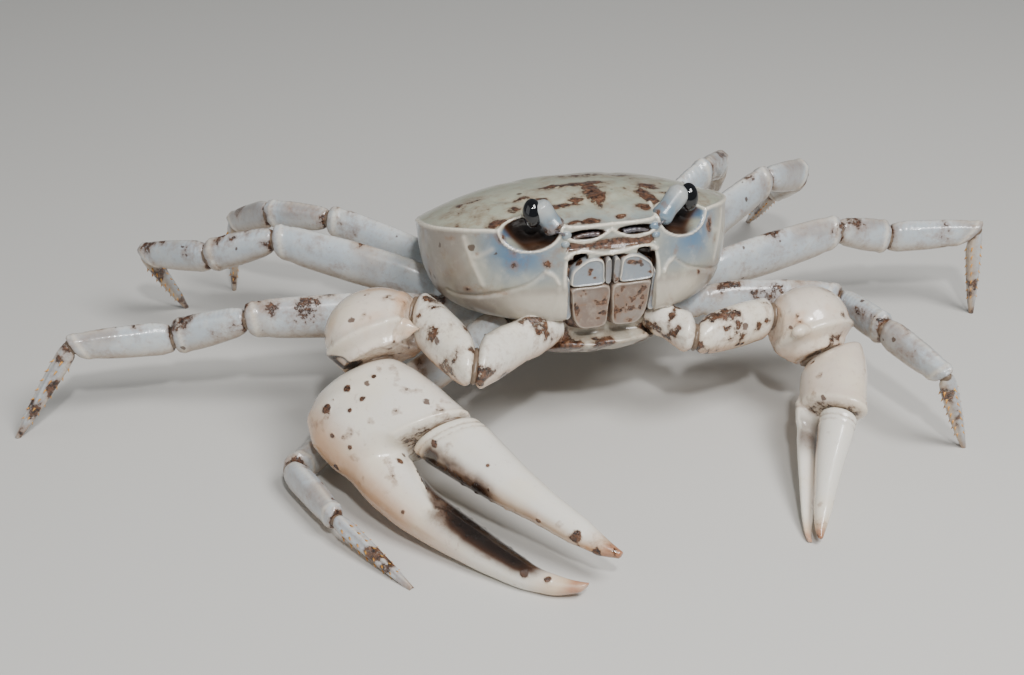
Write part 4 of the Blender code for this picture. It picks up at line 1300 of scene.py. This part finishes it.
def chela_skins(side, form):
    """Palm with fixed finger, and movable finger, as two evened skins, and the hinge's height."""
    claw = CLAWS[side]
    wrist_normal = Vector(claw["wrist_normal"]).normalized()
    palm_rows = claw_rows(claw, form.depth, PALM_ROWS, claw["crest"])
    palm = limb_part("claw_%s_palm_shell" % side, form.wrist, form.hinge, wrist_normal, form.hinge_normal,
                     form.up, palm_rows, sides=64, stations=60)[0]
    start_place = FIXED_FINGER_ROWS[0][0]
    shifted = [((place - start_place) / (1 - start_place), *sizes) for place, *sizes in FIXED_FINGER_ROWS]
    start = form.wrist + form.axis * start_place * form.length
    fixed = limb_part("fixed_finger", start, form.tip, form.axis, form.axis, form.up,
                      claw_rows(claw, form.depth, shifted), sides=48, stations=110, gaps=(0, 0))[0]
    base_height = (0.012 + claw["crest"] * 0.75) * form.depth
    finger_base = Vector(plane_hit(np.array([form.hinge + form.up * base_height]), np.array(form.axis),
                                   np.array(form.hinge), np.array(form.hinge_normal))[0])
    finger_tip = form.wrist + form.axis * form.length * 1.005 + form.up * form.depth * 0.135 * claw["gape"]
    finger_rows = [(place, *(form.depth * size for size in sizes)) for place, *sizes in FINGER_ROWS]
    finger = limb_part("claw_%s_finger_shell" % side, finger_base, finger_tip, form.hinge_normal,
                       (finger_tip - finger_base).normalized(), form.up, finger_rows,
                       sides=56, stations=120, gaps=(1, 0))[0]

    fixed_teeth, finger_teeth = [fixed], []
    for k in range(CLAW_TEETH):
        share = 0.50 + 0.36 * k / (CLAW_TEETH - 1)
        size = claw["teeth"] * form.depth * 0.0045 * (1.25 - 0.5 * k / CLAW_TEETH) * (1.15 if k % 2 else 0.9)
        edge = between(claw_rows(claw, form.depth, FIXED_FINGER_ROWS), share, 2)
        spot = form.wrist + form.axis * share * form.length + form.up * edge
        fixed_teeth.append(claw_tooth(spot - form.up * size * 0.8, size))
        along = (share - FINGER_START) / (1 - FINGER_START)
        under = finger_base.lerp(finger_tip, along) + form.up * between(FINGER_ROWS, along, 1) * form.depth
        finger_teeth.append(claw_tooth(under + form.up * size * 0.7, size))
    cut_or_join(palm, fixed_teeth, "UNION")
    cut_or_join(finger, finger_teeth, "UNION")
    for piece in (palm, finger):
        remesh(piece, CLAW_VOXEL)
        relax(piece, 7)
    return palm, finger, base_height


def claw_places(piece, form):
    """For each point: share of the length, height, how far it faces up, and gap to the hinge."""
    points = points_of(piece)
    return SimpleNamespace(
        points=points,
        share=(points - np.array(form.wrist)) @ np.array(form.axis) / form.length,
        height=(points - np.array(form.wrist)) @ np.array(form.up) / form.depth,
        facing=normals_of(piece) @ np.array(form.up),
        gap=(points - np.array(form.hinge)) @ np.array(form.hinge_normal),
    )


# %% Relief and masks of the palm


def palm_finish(side, form, at, placed, speckle):
    """Relief and masks of a palm: collar before the hinge, painted shade in the crotch, ridge and peach
    belly.
    """
    claw = CLAWS[side]
    over = ramp(at.height, -0.13, -0.09)
    collar = np.exp(-((at.gap + 0.62) / 0.24) ** 2) * over
    trough = np.exp(-((at.gap + 1.45) / 0.40) ** 2) * over
    groove = np.exp(-((at.height + 0.07) / 0.022) ** 2) * (1 - ramp(at.gap, -2.2, -1.0))
    push = claw["collar"] * collar - 0.08 * trough - claw["groove"] * groove
    # The crotch by the movable finger and the notch, the fixed finger's inner face, are painted with shade;
    # the notch also carries mud
    crotch = np.exp(-((at.share - 0.42) / 0.07) ** 2) * ramp(at.facing, 0.0, 0.6) * (at.gap > 0)
    notch = ramp(at.share, 0.37, 0.47) * (1 - ramp(at.share, *claw["dark_end"]))
    notch *= ramp(at.facing, -0.75, 0.45)
    ridge = np.zeros(len(at.points))
    if side == "right":
        track = on_surface(at.points, smooth_path(np.array(PALM_RIDGE) + (stand.x, stand.y, 0)))
        before_end = at.points[:, 1] - track[:, 1].min()
        ridge = nearness(at.points, track, 0.28) * ramp(before_end, 0.2, 3.0)
        nearest = track[np.abs(at.points[:, None, 1] - track[None, :, 1]).argmin(axis=1)]
        far = np.linalg.norm(at.points - nearest, axis=1)
        outer = ((at.points - nearest) @ np.array(form.up) < 0) * ramp(before_end, -0.9, 0.5)
        notch *= (1 - outer * (1 - np.exp(-(far / 0.3) ** 2))) * (1 - ridge)
        crotch *= 1 - outer
        push += 0.17 * ridge
    edge = np.exp(-((at.gap + 0.05) / 0.22) ** 2) * over
    mud = np.maximum.reduce([0.5 * speckle, 0.55 * notch * claw["dark"], 0.6 * edge, placed,
                             np.full(len(placed), 0.12)])
    uneven = 0.55 + 0.4 * ramp(cloud(at.points, 3.0, 27), 0.25, 0.6)
    deep = claw["dark"] * np.maximum(notch * uneven, 0.8 * crotch)
    # The underside is painted peach: partly the claw's own colour, partly painted shade
    belly = 0.9 * ramp(-at.height, 0.14, 0.30) * (1 - 0.5 * ramp(at.share, 0.6, 0.8))
    blush = claw["blush"] * (1 - ramp(at.gap, -0.5, 0.5)) * (0.4 + cloud(at.points, 4.0, 26))
    peach = np.maximum(belly + 0.8 * ramp(at.share, 0.86, 0.97), blush)
    rim = np.maximum(0.8 * collar, 0.5 * np.exp(-((at.facing - 0.02) / 0.22) ** 2) * (at.gap > 0))
    rim = np.maximum(rim * (1 - peach.clip(0, 1) * 0.6), 0.9 * ridge)
    return push, {"rim": rim, "mud": mud, "tint": peach, "deep": deep}


# %% Relief and masks of the movable finger


def finger_finish(side, at, placed, speckle):
    """Relief and masks of a finger: two rings by the hinge, mud and painted shade on the lower edge, and a
    peach tip.
    """
    dark = CLAWS[side]["dark"]
    rings = np.exp(-((at.gap - 0.95) / 0.16) ** 2) + 0.7 * np.exp(-((at.gap - 1.5) / 0.18) ** 2)
    # The lower side of the finger's base carries mud and painted shade
    under = ramp(-at.facing, 0.05, 0.95) * ramp(at.share, 0.34, 0.38) * (1 - ramp(at.share, 0.54, 0.68))
    mud = np.maximum.reduce([0.45 * speckle, 0.60 * under * dark, 0.50 * rings, placed,
                             np.full(len(placed), 0.09), 0.5 * ramp(at.share, 0.88, 0.96)])
    deep = dark * under * (0.55 + 0.4 * ramp(cloud(at.points, 1.6, 29), 0.35, 0.65))
    peach = 0.7 * ramp(-at.facing, 0.2, 0.9) + 0.8 * ramp(at.share, 0.88, 0.985)
    rim = 0.5 * (1 - ramp(at.gap, 0.0, 1.0))
    return -0.12 * rings, {"rim": rim, "mud": mud, "tint": peach, "deep": deep}


# %% A whole palm and finger


def build_chela(side):
    """Palm with fixed finger, and movable finger, sculpted and painted."""
    form = claw_measures(side)
    palm, finger, base_height = chela_skins(side, form)
    at = claw_places(palm, form)
    by_finger = ramp(at.height, -0.14, -0.10) * (np.abs(at.gap) < 1.5)
    soften(palm, np.exp(-((at.share - 0.30) / 0.12) ** 2) * (1 - by_finger), 160)
    for piece, node in ((palm, "palm"), (finger, "finger")):
        at = claw_places(piece, form)
        normals = normals_of(piece)
        speckle = ramp(cloud(at.points, 1.3, 23), 0.60, 0.76)
        placed = marks(at.points, np.array(CLAW_MARKS[side][node]) + (stand.x, stand.y, 0, 0), 24)
        if node == "palm":
            push, masks = palm_finish(side, form, at, placed, speckle)
        else:
            push, masks = finger_finish(side, at, placed, speckle)
        push = push + 0.05 * (cloud(at.points, 2.2, 21) - 0.5) + 0.07 * placed
        put_points(piece, at.points + normals * push[:, None])
        on_the_floor(piece)
        paint(piece, warm=0.95 * ramp(at.share, 0.945, 0.98), **masks)
        settle(piece, CLAW_SHELL, "claw_%s_%s" % (side, node), slot="claw")
        print(piece.name, len(piece.data.polygons), "faces")
    return form.hinge + form.up * base_height, form.hinge_normal, form.up, form.depth


# %% [markdown]
# ## Arm and wrist
# Behind the palm stand a rounded carpus with one sharp tooth, and two short tubes that reach
# in under the body. The carpus is a ball cut by two planes and remeshed with its tooth, since
# a cut ball has the clean rim at each joint that a tube with rounded ends doesn't.

# %% Arm, wrist and carpus


def arm_relief(place, angle, length):
    """A keel above and a collar before the far joint."""
    collar = 0.18 * np.exp(-(((1 - place) * length - 0.9) / 0.4) ** 2)
    keel = 0.18 * np.exp(-((angle - math.pi / 2) / 0.25) ** 2)
    return collar + keel * ramp(place, 0.1, 0.4)


def build_arm(side):
    """Base, merus and carpus of a claw, and the skin of its joints."""
    claw = CLAWS[side]
    stout = claw["stoutness"]
    hip = BODY @ Vector((SIDES[side] * CLAW_HIP[0], CLAW_HIP[1], CLAW_HIP[2]))
    elbow, end = standing(claw["ischium_end"]), standing(claw["merus_end"])
    centre, wrist = standing(claw["carpus_centre"]), standing(claw["wrist"])
    ways = [(elbow - hip).normalized(), (end - elbow).normalized(), (centre - end).normalized()]
    elbow_normal = (ways[0] + ways[1]).normalized()
    end_normal = (ways[1] + ways[2]).normalized()
    up = Vector((0, 0, 1))
    parts = (
        ("base", hip, elbow, ways[0], elbow_normal, ARM_BASE_ROWS, (0, 1)),
        ("merus", elbow, end, elbow_normal, end_normal, ARM_MERUS_ROWS, (1, 1)),
    )
    for node, first, last, first_normal, last_normal, table, gaps in parts:
        piece, along, around, length = limb_part(
            "claw_%s_%s_shell" % (side, node), first, last, first_normal, last_normal, up,
            even_rows(table, stout), sides=56, stations=90, gaps=gaps, relief=arm_relief, section=2.2,
            rounding=1.5, neck=0.52,
        )
        rounded = np.exp(-along * length / 1.5) * gaps[0] + np.exp(-(1 - along) * length / 1.5)
        soften(piece, rounded.clip(0, 1), 70)
        points = points_of(piece)
        blotch = ramp(cloud(points, 1.5, 31), 0.52, 0.72)
        ends = np.exp(-along * length / 0.25) * gaps[0] + np.exp(-(1 - along) * length / 0.25)
        paint(piece, rim=0.3 * np.sin(around).clip(0), mud=0.24 + 0.5 * blotch + 0.4 * ends,
              tint=0.9 * ramp(-np.sin(around), -0.2, 0.9))
        settle(piece, CLAW_SHELL, "claw_%s_%s" % (side, node), slot="claw")

    carpus = ball("claw_%s_carpus_shell" % side, centre, claw["carpus_radii"], 64)
    reach = claw["carpus_radii"][0]
    wrist_normal = Vector(claw["wrist_normal"]).normalized()
    cuts = (
        (wrist - wrist_normal * SEAM_GAP / 2, wrist_normal),
        (end + end_normal * SEAM_GAP / 2, -end_normal),
    )
    for spot, normal in cuts:
        pick(carpus)
        bpy.ops.object.mode_set(mode="EDIT")
        bpy.ops.mesh.select_all(action="SELECT")
        bpy.ops.mesh.bisect(plane_co=spot, plane_no=normal, clear_outer=True, use_fill=True)
        bpy.ops.object.mode_set(mode="OBJECT")
    foot, point = (standing(claw[key]) for key in ("tooth_foot", "tooth_tip"))
    way = point - foot
    bpy.ops.object.select_all(action="DESELECT")
    bpy.ops.mesh.primitive_cone_add(vertices=32, radius1=1.25 * stout, radius2=0.2, depth=way.length)
    tooth = bpy.context.object
    turn = way.to_track_quat("Z", "Y").to_matrix().to_4x4()
    tooth.data.transform(Matrix.Translation((foot + point) / 2) @ turn)
    cut_or_join(carpus, [tooth], "UNION")
    remesh(carpus, CLAW_VOXEL)
    relax(carpus, 7)
    points = points_of(carpus)
    normals = normals_of(carpus)
    to_wrist = np.abs((points - np.array(cuts[0][0])) @ np.array(wrist_normal))
    to_merus = np.abs((points - np.array(cuts[1][0])) @ np.array(end_normal))
    low = ramp((np.array(centre)[2] - points[:, 2]) / reach, -0.1, 0.7)
    front = ramp(-(points[:, 1] - centre.y) / reach, -0.2, 0.6)
    ridge = np.exp(-((to_wrist - 1.9) / 0.38) ** 2) * (1 - low)
    window = np.exp(-((to_wrist - 0.7) / 0.55) ** 2) * (1 - low) * front
    push = 0.32 * ridge - 0.34 * window + 0.10 * (cloud(points, 2.5, 33) - 0.5)
    push += 0.12 * np.exp(-((to_merus - 0.8) / 0.35) ** 2)
    # The slit in which the wrist turns, at the outer side of the claw, pushed in; a ring of painted shade is
    # laid round it below
    slit = np.array(wrist) + np.array(claw["slit"]) - np.array(wrist_normal) * 0.6
    slit_gap = np.linalg.norm((points - slit) / np.array((1.5, 1.5, 0.75)), axis=1)
    push -= 0.25 * (1 - ramp(slit_gap, 0.5, 1.0))
    put_points(carpus, points + normals * push[:, None])
    relax(carpus, 1)
    edges = 0.5 * np.exp(-to_wrist / 0.2) + 0.3 * np.exp(-to_merus / 0.2)
    blotch = ramp(cloud(points, 1.5, 35), 0.58, 0.74)
    peach = 0.22 + 0.5 * low + 0.5 * ramp(cloud(points, 3.0, 37), 0.45, 0.7)
    # The last mask is a ring of painted shade round the slit
    paint(carpus, rim=np.maximum(0.6 * ridge, 0.25 * window), mud=0.14 + 0.45 * blotch + 0.6 * edges,
          tint=peach, warm=0.5 * (1 - ramp(slit_gap, 0.4, 0.8)),
          deep=0.9 * np.exp(-((slit_gap - 0.85) / 0.28) ** 2))
    settle(carpus, CLAW_SHELL, "claw_%s_carpus" % side, slot="claw")
    return [
        skin_spot(elbow, elbow_normal, ways[0], ways[1], up, 2.3 * stout, 1.95 * stout, fill=0.66),
        skin_spot(end, end_normal, ways[1], ways[2], up, 2.6 * stout, 2.15 * stout, fill=0.66),
        skin_spot(wrist, wrist_normal, wrist_normal, wrist_normal, Vector(claw["up"]), 2.2 * stout,
                  2.0 * stout),
    ]


for side in SIDES:
    skins = build_arm(side)
    hinge_spot, hinge_normal, claw_up, depth = build_chela(side)
    skins.append(skin_spot(hinge_spot, hinge_normal, hinge_normal, hinge_normal, claw_up, 0.088 * depth,
                           0.074 * depth))
    joint_skin("claw_%s_joint_skin" % side, skins, "claw")

# %% [markdown]
# ## Eyes
# A crab's eye is a black cornea on a movable stalk, which folds into the orbit. The stalk is a
# smooth tube that flares round the back of the cornea. The cornea is an oval a little lower
# than the orbit, polished and almost black, so it needs an even mesh more than detail.

# %% Stalks and corneas
EYES = {"right": (7.2, -11.2, 1.5), "left": (8.35, -11.2, 1.5)}
EYE_RADII = (0.92, 0.95, 1.36)
STALK_BASE = (4.95, -11.7, -0.40)
STALK_TOP = (-0.38, 0.15, 0.95)
STALK_ROWS = ((0.0, -0.50, 0.50, 0.50), (0.06, -0.90, 0.90, 0.90), (0.15, -1.08, 1.08, 1.08),
              (0.38, -0.94, 0.94, 0.94), (0.60, -1.02, 1.02, 1.02), (0.80, -1.08, 1.08, 1.08),
              (0.92, -0.84, 0.84, 0.88), (1.0, -0.30, 0.30, 0.32))

for side, sign in SIDES.items():
    mirror = np.array((sign, 1, 1))
    base = BODY @ Vector(STALK_BASE * mirror)
    centre = BODY @ Vector(EYES[side] * mirror)
    top = BODY @ Vector((np.array(EYES[side]) + STALK_TOP) * mirror)
    axis = (top - base).normalized()
    up = BODY.to_3x3() @ Vector((0, 0, 1))
    stalk, along, around, length = limb_part(
        "eyestalk_%s_shell" % side, base, top, axis, axis, up, STALK_ROWS, sides=40, stations=48, gaps=(0, 0),
    )
    relax(stalk, 3)
    points = points_of(stalk)
    smear = ramp(cloud(points, 1.0, 42), 0.45, 0.65)
    mud = 0.15 + 0.50 * smear * (1 - ramp(along, 0.2, 0.6))
    paint(stalk, rim=0.30 * ramp(along, 0.3, 0.8), tint=0.75, mud=mud)
    settle(stalk, CARAPACE_SHELL, "eyestalk_" + side)
    cornea = ball("cornea_" + side, (0, 0, 0), EYE_RADII, 64)
    cornea.data.transform(Matrix.Translation(centre) @ BODY.to_3x3().to_4x4())
    settle(cornea, CORNEA, "eye_" + side, slot="eye")
print("eyes set")

# %% [markdown]
# ## Outer mouthparts
# Two pairs of plates close the mouth like doors: a long ischium below and a squarer merus
# above, with a slim exopod beside them. Each plate is rings drawn in from a rounded outline.
# It is dished in the middle, with an ivory lip round the edge.

# %% A dished plate and the two doors


def plate(corners, front_y, thickness, dish=0.10, lip=0.10, rings=44):
    """Points, faces and lip mask of a plate in the x-z plane that faces -Y."""
    edge = smooth_path(corners, step=0.10, closed=True)
    middle = edge.mean(axis=0)
    points, mask = [], []
    shares = np.r_[np.linspace(0.04, 1.0, rings), 1.0, 0.985, 0.96]
    for i, share in enumerate(shares):
        y = front_y + dish * (1 - share ** 2) - lip * math.exp(-((share - 0.90) / 0.055) ** 2)
        if i < rings:
            y += 0.25 * ramp(share, 0.92, 1.0) ** 2
        else:
            y = front_y + 0.25 + (thickness - 0.25) * (i - rings + 1) / 3
        flat = middle + (edge - middle) * share
        points.append(np.c_[flat[:, 0], np.full(len(edge), y), flat[:, 1]])
        mask.append(np.full(len(edge), math.exp(-((share - 0.93) / 0.045) ** 2)))
    return np.vstack(points), ring_faces(len(shares), len(edge)), np.concatenate(mask)


DOOR_TOP = -2.95
DOOR_THICKNESS = 1.2
split = MOUTH_SPLIT
half = MOUTH_HALF_WIDTH
DOOR = {
    "palp": [(0.16, split + 0.15), (0.16, DOOR_TOP - 0.5), (0.45, DOOR_TOP - 0.15), (0.72, DOOR_TOP - 0.6),
             (0.68, split + 0.9), (0.62, split + 0.15)],
    "merus": [(0.80, split + 0.12), (0.76, split + 0.9), (0.90, DOOR_TOP - 0.45), (1.50, DOOR_TOP - 0.02),
              (2.40, DOOR_TOP - 0.05), (3.20, DOOR_TOP - 0.50), (3.95, DOOR_TOP - 1.15), (4.12, split + 0.8),
              (3.95, split + 0.12), (2.20, split + 0.02)],
    "ischium": [(0.16, split - 0.3), (0.16, MOUTH_BOTTOM + 1.9), (0.35, MOUTH_BOTTOM + 0.3),
                (1.50, MOUTH_BOTTOM + 0.0), (2.95, MOUTH_BOTTOM + 0.2), (3.70, MOUTH_BOTTOM + 1.5),
                (3.95, split - 0.9), (3.85, split - 0.12), (1.80, split - 0.08)],
    "exopod": [(4.22, split + 0.9), (4.40, split + 0.8), (4.55, -7.4), (4.65, MOUTH_BOTTOM + 2.0),
               (4.35, MOUTH_BOTTOM + 1.2), (3.90, -8.9), (4.05, -7.4), (4.15, split + 0.2)],
}
# A plate behind the doors closes the gaps between them; its mud colours are painted shade for those gaps
BACKING = ((0.2, MOUTH_BOTTOM + 0.1), (0.2, -6), (0.3, MOUTH_TOP - 0.6), (half - 0.3, MOUTH_TOP - 0.7),
           (half, -6), (half - 0.5, MOUTH_BOTTOM + 0.2))
IVORY_LIP = {"palp": 0.4, "merus": 0.75, "ischium": 0.22, "exopod": 0.5}
PLATE_MUD = {"palp": 0.5, "merus": 0.80, "ischium": 0.65, "exopod": 0.45}
PLATE_TINT = {"palp": 0.4, "merus": 0.10, "ischium": 0.9, "exopod": 0.2}

for side, sign in SIDES.items():
    all_points, all_faces, rims, muds, tints = [], [], [], [], []
    count = 0
    for part, corners in DOOR.items():
        front_y = MOUTH_Y - (0.35 if part == "exopod" else 0.5)
        lip_height = 0.10 if part == "merus" else 0.05
        points, faces, lip = plate(np.array(corners) * (sign, 1), front_y, DOOR_THICKNESS, lip=lip_height)
        if sign < 0:
            faces = [face[::-1] for face in faces]
        all_points.append(points)
        all_faces += [[count + v for v in face] for face in faces]
        rims.append(lip * IVORY_LIP[part])
        smear = ramp(cloud(points, 1.1, 51 + sign), 0.46, 0.66)
        muds.append((0.15 + PLATE_MUD[part] * smear) * (1 - 0.6 * lip))
        tints.append(np.full(len(points), PLATE_TINT[part]))
        count += len(points)
    backing, faces, _ = plate(np.array(BACKING) * (sign, 1), MOUTH_Y + 0.35, 0.5, dish=0.0, lip=0.0, rings=8)
    all_points.append(backing)
    all_faces += [[count + v for v in (face[::-1] if sign < 0 else face)] for face in faces]
    rims.append(np.zeros(len(backing)))
    # The backing's mud stands for the shade in the gaps between the doors
    muds.append(np.full(len(backing), 0.9))
    tints.append(np.ones(len(backing)))
    door = new_piece("mouth_door_" + side, np.vstack(all_points), all_faces)
    paint(door, rim=np.concatenate(rims), mud=np.concatenate(muds), tint=np.concatenate(tints))
    door.data.transform(MOUTH)
    settle(door, MOUTH_SHELL, "maxilliped_" + side, slot="mouth")
    print(door.name, len(door.data.polygons), "faces")

# %% [markdown]
# ## Feelers
# The short outer feelers grow beside the orbits, and the inner pair lies folded in the slots
# under the front. Each is a tapering, ringed tube along a few points.

# %% Antennae and folded antennules


def feeler(name, path, thick, thin, rings_per_mm):
    """A tapering ringed tube along a smooth path in the animal's frame."""
    step, sides = 0.10, 14
    track = smooth_path(path, step=step)
    rings = []
    for i, spot in enumerate(track):
        ahead = track[min(i + 1, len(track) - 1)] - track[max(i - 1, 0)]
        way = Vector(ahead).normalized()
        across = way.cross(Vector((0, 0, 1))).normalized()
        upper = across.cross(way)
        share = i / (len(track) - 1)
        ringed = 1 + 0.10 * math.sin(i * step * rings_per_mm * 2 * math.pi)
        radius = (thick + (thin - thick) * share) * ringed
        angle = 2 * math.pi * np.arange(sides) / sides
        rings.append(spot + radius * (np.outer(np.cos(angle), across) + np.outer(np.sin(angle), upper)))
    piece = new_piece(name, np.vstack(rings), ring_faces(len(track), sides))
    points = points_of(piece)
    # The feelers are evenly painted with a little shade, as they lie in or by the hollows of the face
    paint(piece, tint=0.9, deep=0.45, mud=0.5 * ramp(cloud(points, 0.9, 61), 0.5, 0.7))
    piece.data.transform(BODY)
    settle(piece, CARAPACE_SHELL)


ANTENNA = ((4.45, -12.2, -0.75), (4.75, -12.55, -0.55), (5.1, -12.6, -0.35), (5.5, -12.45, -0.25))
ANTENNULE = ((1.2, -12.3, -0.95), (2.0, -12.35, -0.85), (2.9, -12.3, -0.9), (3.7, -12.2, -1.1))
# The small joints at the foot of the antenna: centre and radii
FEELER_CELLS = (((4.38, -12.22, -0.70), (0.52, 0.42, 0.46)), ((4.50, -12.2, -1.55), (0.42, 0.36, 0.34)))
for side, sign in SIDES.items():
    mirror = np.array((sign, 1, 1))
    feeler("antenna_" + side, ANTENNA * mirror, 0.20, 0.06, 2.6)
    feeler("antennule_" + side, ANTENNULE * mirror, 0.26, 0.18, 2.0)
    for k, (centre, radii) in enumerate(FEELER_CELLS):
        cell = ball("feeler_joint_%d_%s" % (k + 1, side), np.array(centre) * mirror, radii, 32)
        local = points_of(cell)
        paint(cell, tint=0.9, rim=0.5 * ramp(np.abs(local[:, 2] - centre[2]) / radii[2], 0.6, 1.0), mud=0.1)
        cell.data.transform(BODY)
        settle(cell, CARAPACE_SHELL)
print("feelers set")

# %% [markdown]
# ## Studio
# A plain pale floor, a large soft light in front and above, a smaller one for the wet glints,
# and a weak fill. The camera stands in front of the animal, towards its right side and a
# little above, where the photograph was taken from.

# %% Floor, lights and camera
FLOOR_COLOUR = "#cfcdc8"
SKY_COLOUR = "#e8ecf0"
LIT_POINT = (0, -8, 8)
CAMERA_PLACE = (-56.8, -140.0, 91.5)
CAMERA_AIM = (-7.3, -4.0, 8.0)
VIEW_ANGLE = 34.0

bpy.ops.object.select_all(action="DESELECT")
bpy.ops.mesh.primitive_plane_add(size=3.0)
floor = bpy.context.object
floor.name = "studio_floor"
# Matt pale paper: it takes soft shadows and no glints
floor_finish = bpy.data.materials.new("pale_floor")
floor_finish.use_nodes = True
floor_shader = floor_finish.node_tree.nodes["Principled BSDF"]
floor_shader.inputs["Base Color"].default_value = linear(FLOOR_COLOUR)
floor_shader.inputs["Roughness"].default_value = 0.9
floor.data.materials.append(floor_finish)
floor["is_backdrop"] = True


def soft_light(name, place, aim, size, power):
    """A square light aimed at a point, in millimetres of the pose's frame."""
    data = bpy.data.lights.new(name, "AREA")
    data.shape = "SQUARE"
    data.size = size * MM
    data.energy = power
    light = bpy.data.objects.new(name, data)
    spot, target = standing(place) * MM, standing(aim) * MM
    light.location = spot
    light.rotation_euler = (target - spot).to_track_quat("-Z", "Y").to_euler()
    bpy.context.scene.collection.objects.link(light)


soft_light("key", (60, -160, 240), LIT_POINT, 110, 0.80)
soft_light("glint", (-50, -190, 220), LIT_POINT, 18, 0.36)
soft_light("fill", (-240, -40, 110), LIT_POINT, 200, 0.10)
world = bpy.data.worlds.new("studio")
bpy.context.scene.world = world
world.use_nodes = True
world.node_tree.nodes["Background"].inputs["Color"].default_value = linear(SKY_COLOUR)
world.node_tree.nodes["Background"].inputs["Strength"].default_value = 0.20

camera_data = bpy.data.cameras.new("photo_view")
camera_data.sensor_width = 36.0
camera_data.lens = camera_data.sensor_width / 2 / math.tan(math.radians(VIEW_ANGLE / 2))
camera_data.clip_start = 0.001
camera = bpy.data.objects.new("photo_view", camera_data)
camera.location = standing(CAMERA_PLACE) * MM
aim = standing(CAMERA_AIM) * MM
camera.rotation_euler = (aim - camera.location).to_track_quat("-Z", "Y").to_euler()
bpy.context.scene.collection.objects.link(camera)
bpy.context.scene.camera = camera

# %% Sizes, and the last line
visual_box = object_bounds()
boxes = {"cad": [list(corner) for corner in cad_box], "visual": [list(corner) for corner in visual_box]}
triangles = sum(len(polygon.vertices) - 2 for piece in finished for polygon in piece.data.polygons)
print("pieces:", len(finished), "triangles:", triangles)
for name, corners in boxes.items():
    print(name, "box in millimetres:", [[round(v / MM, 1) for v in corner] for corner in corners])
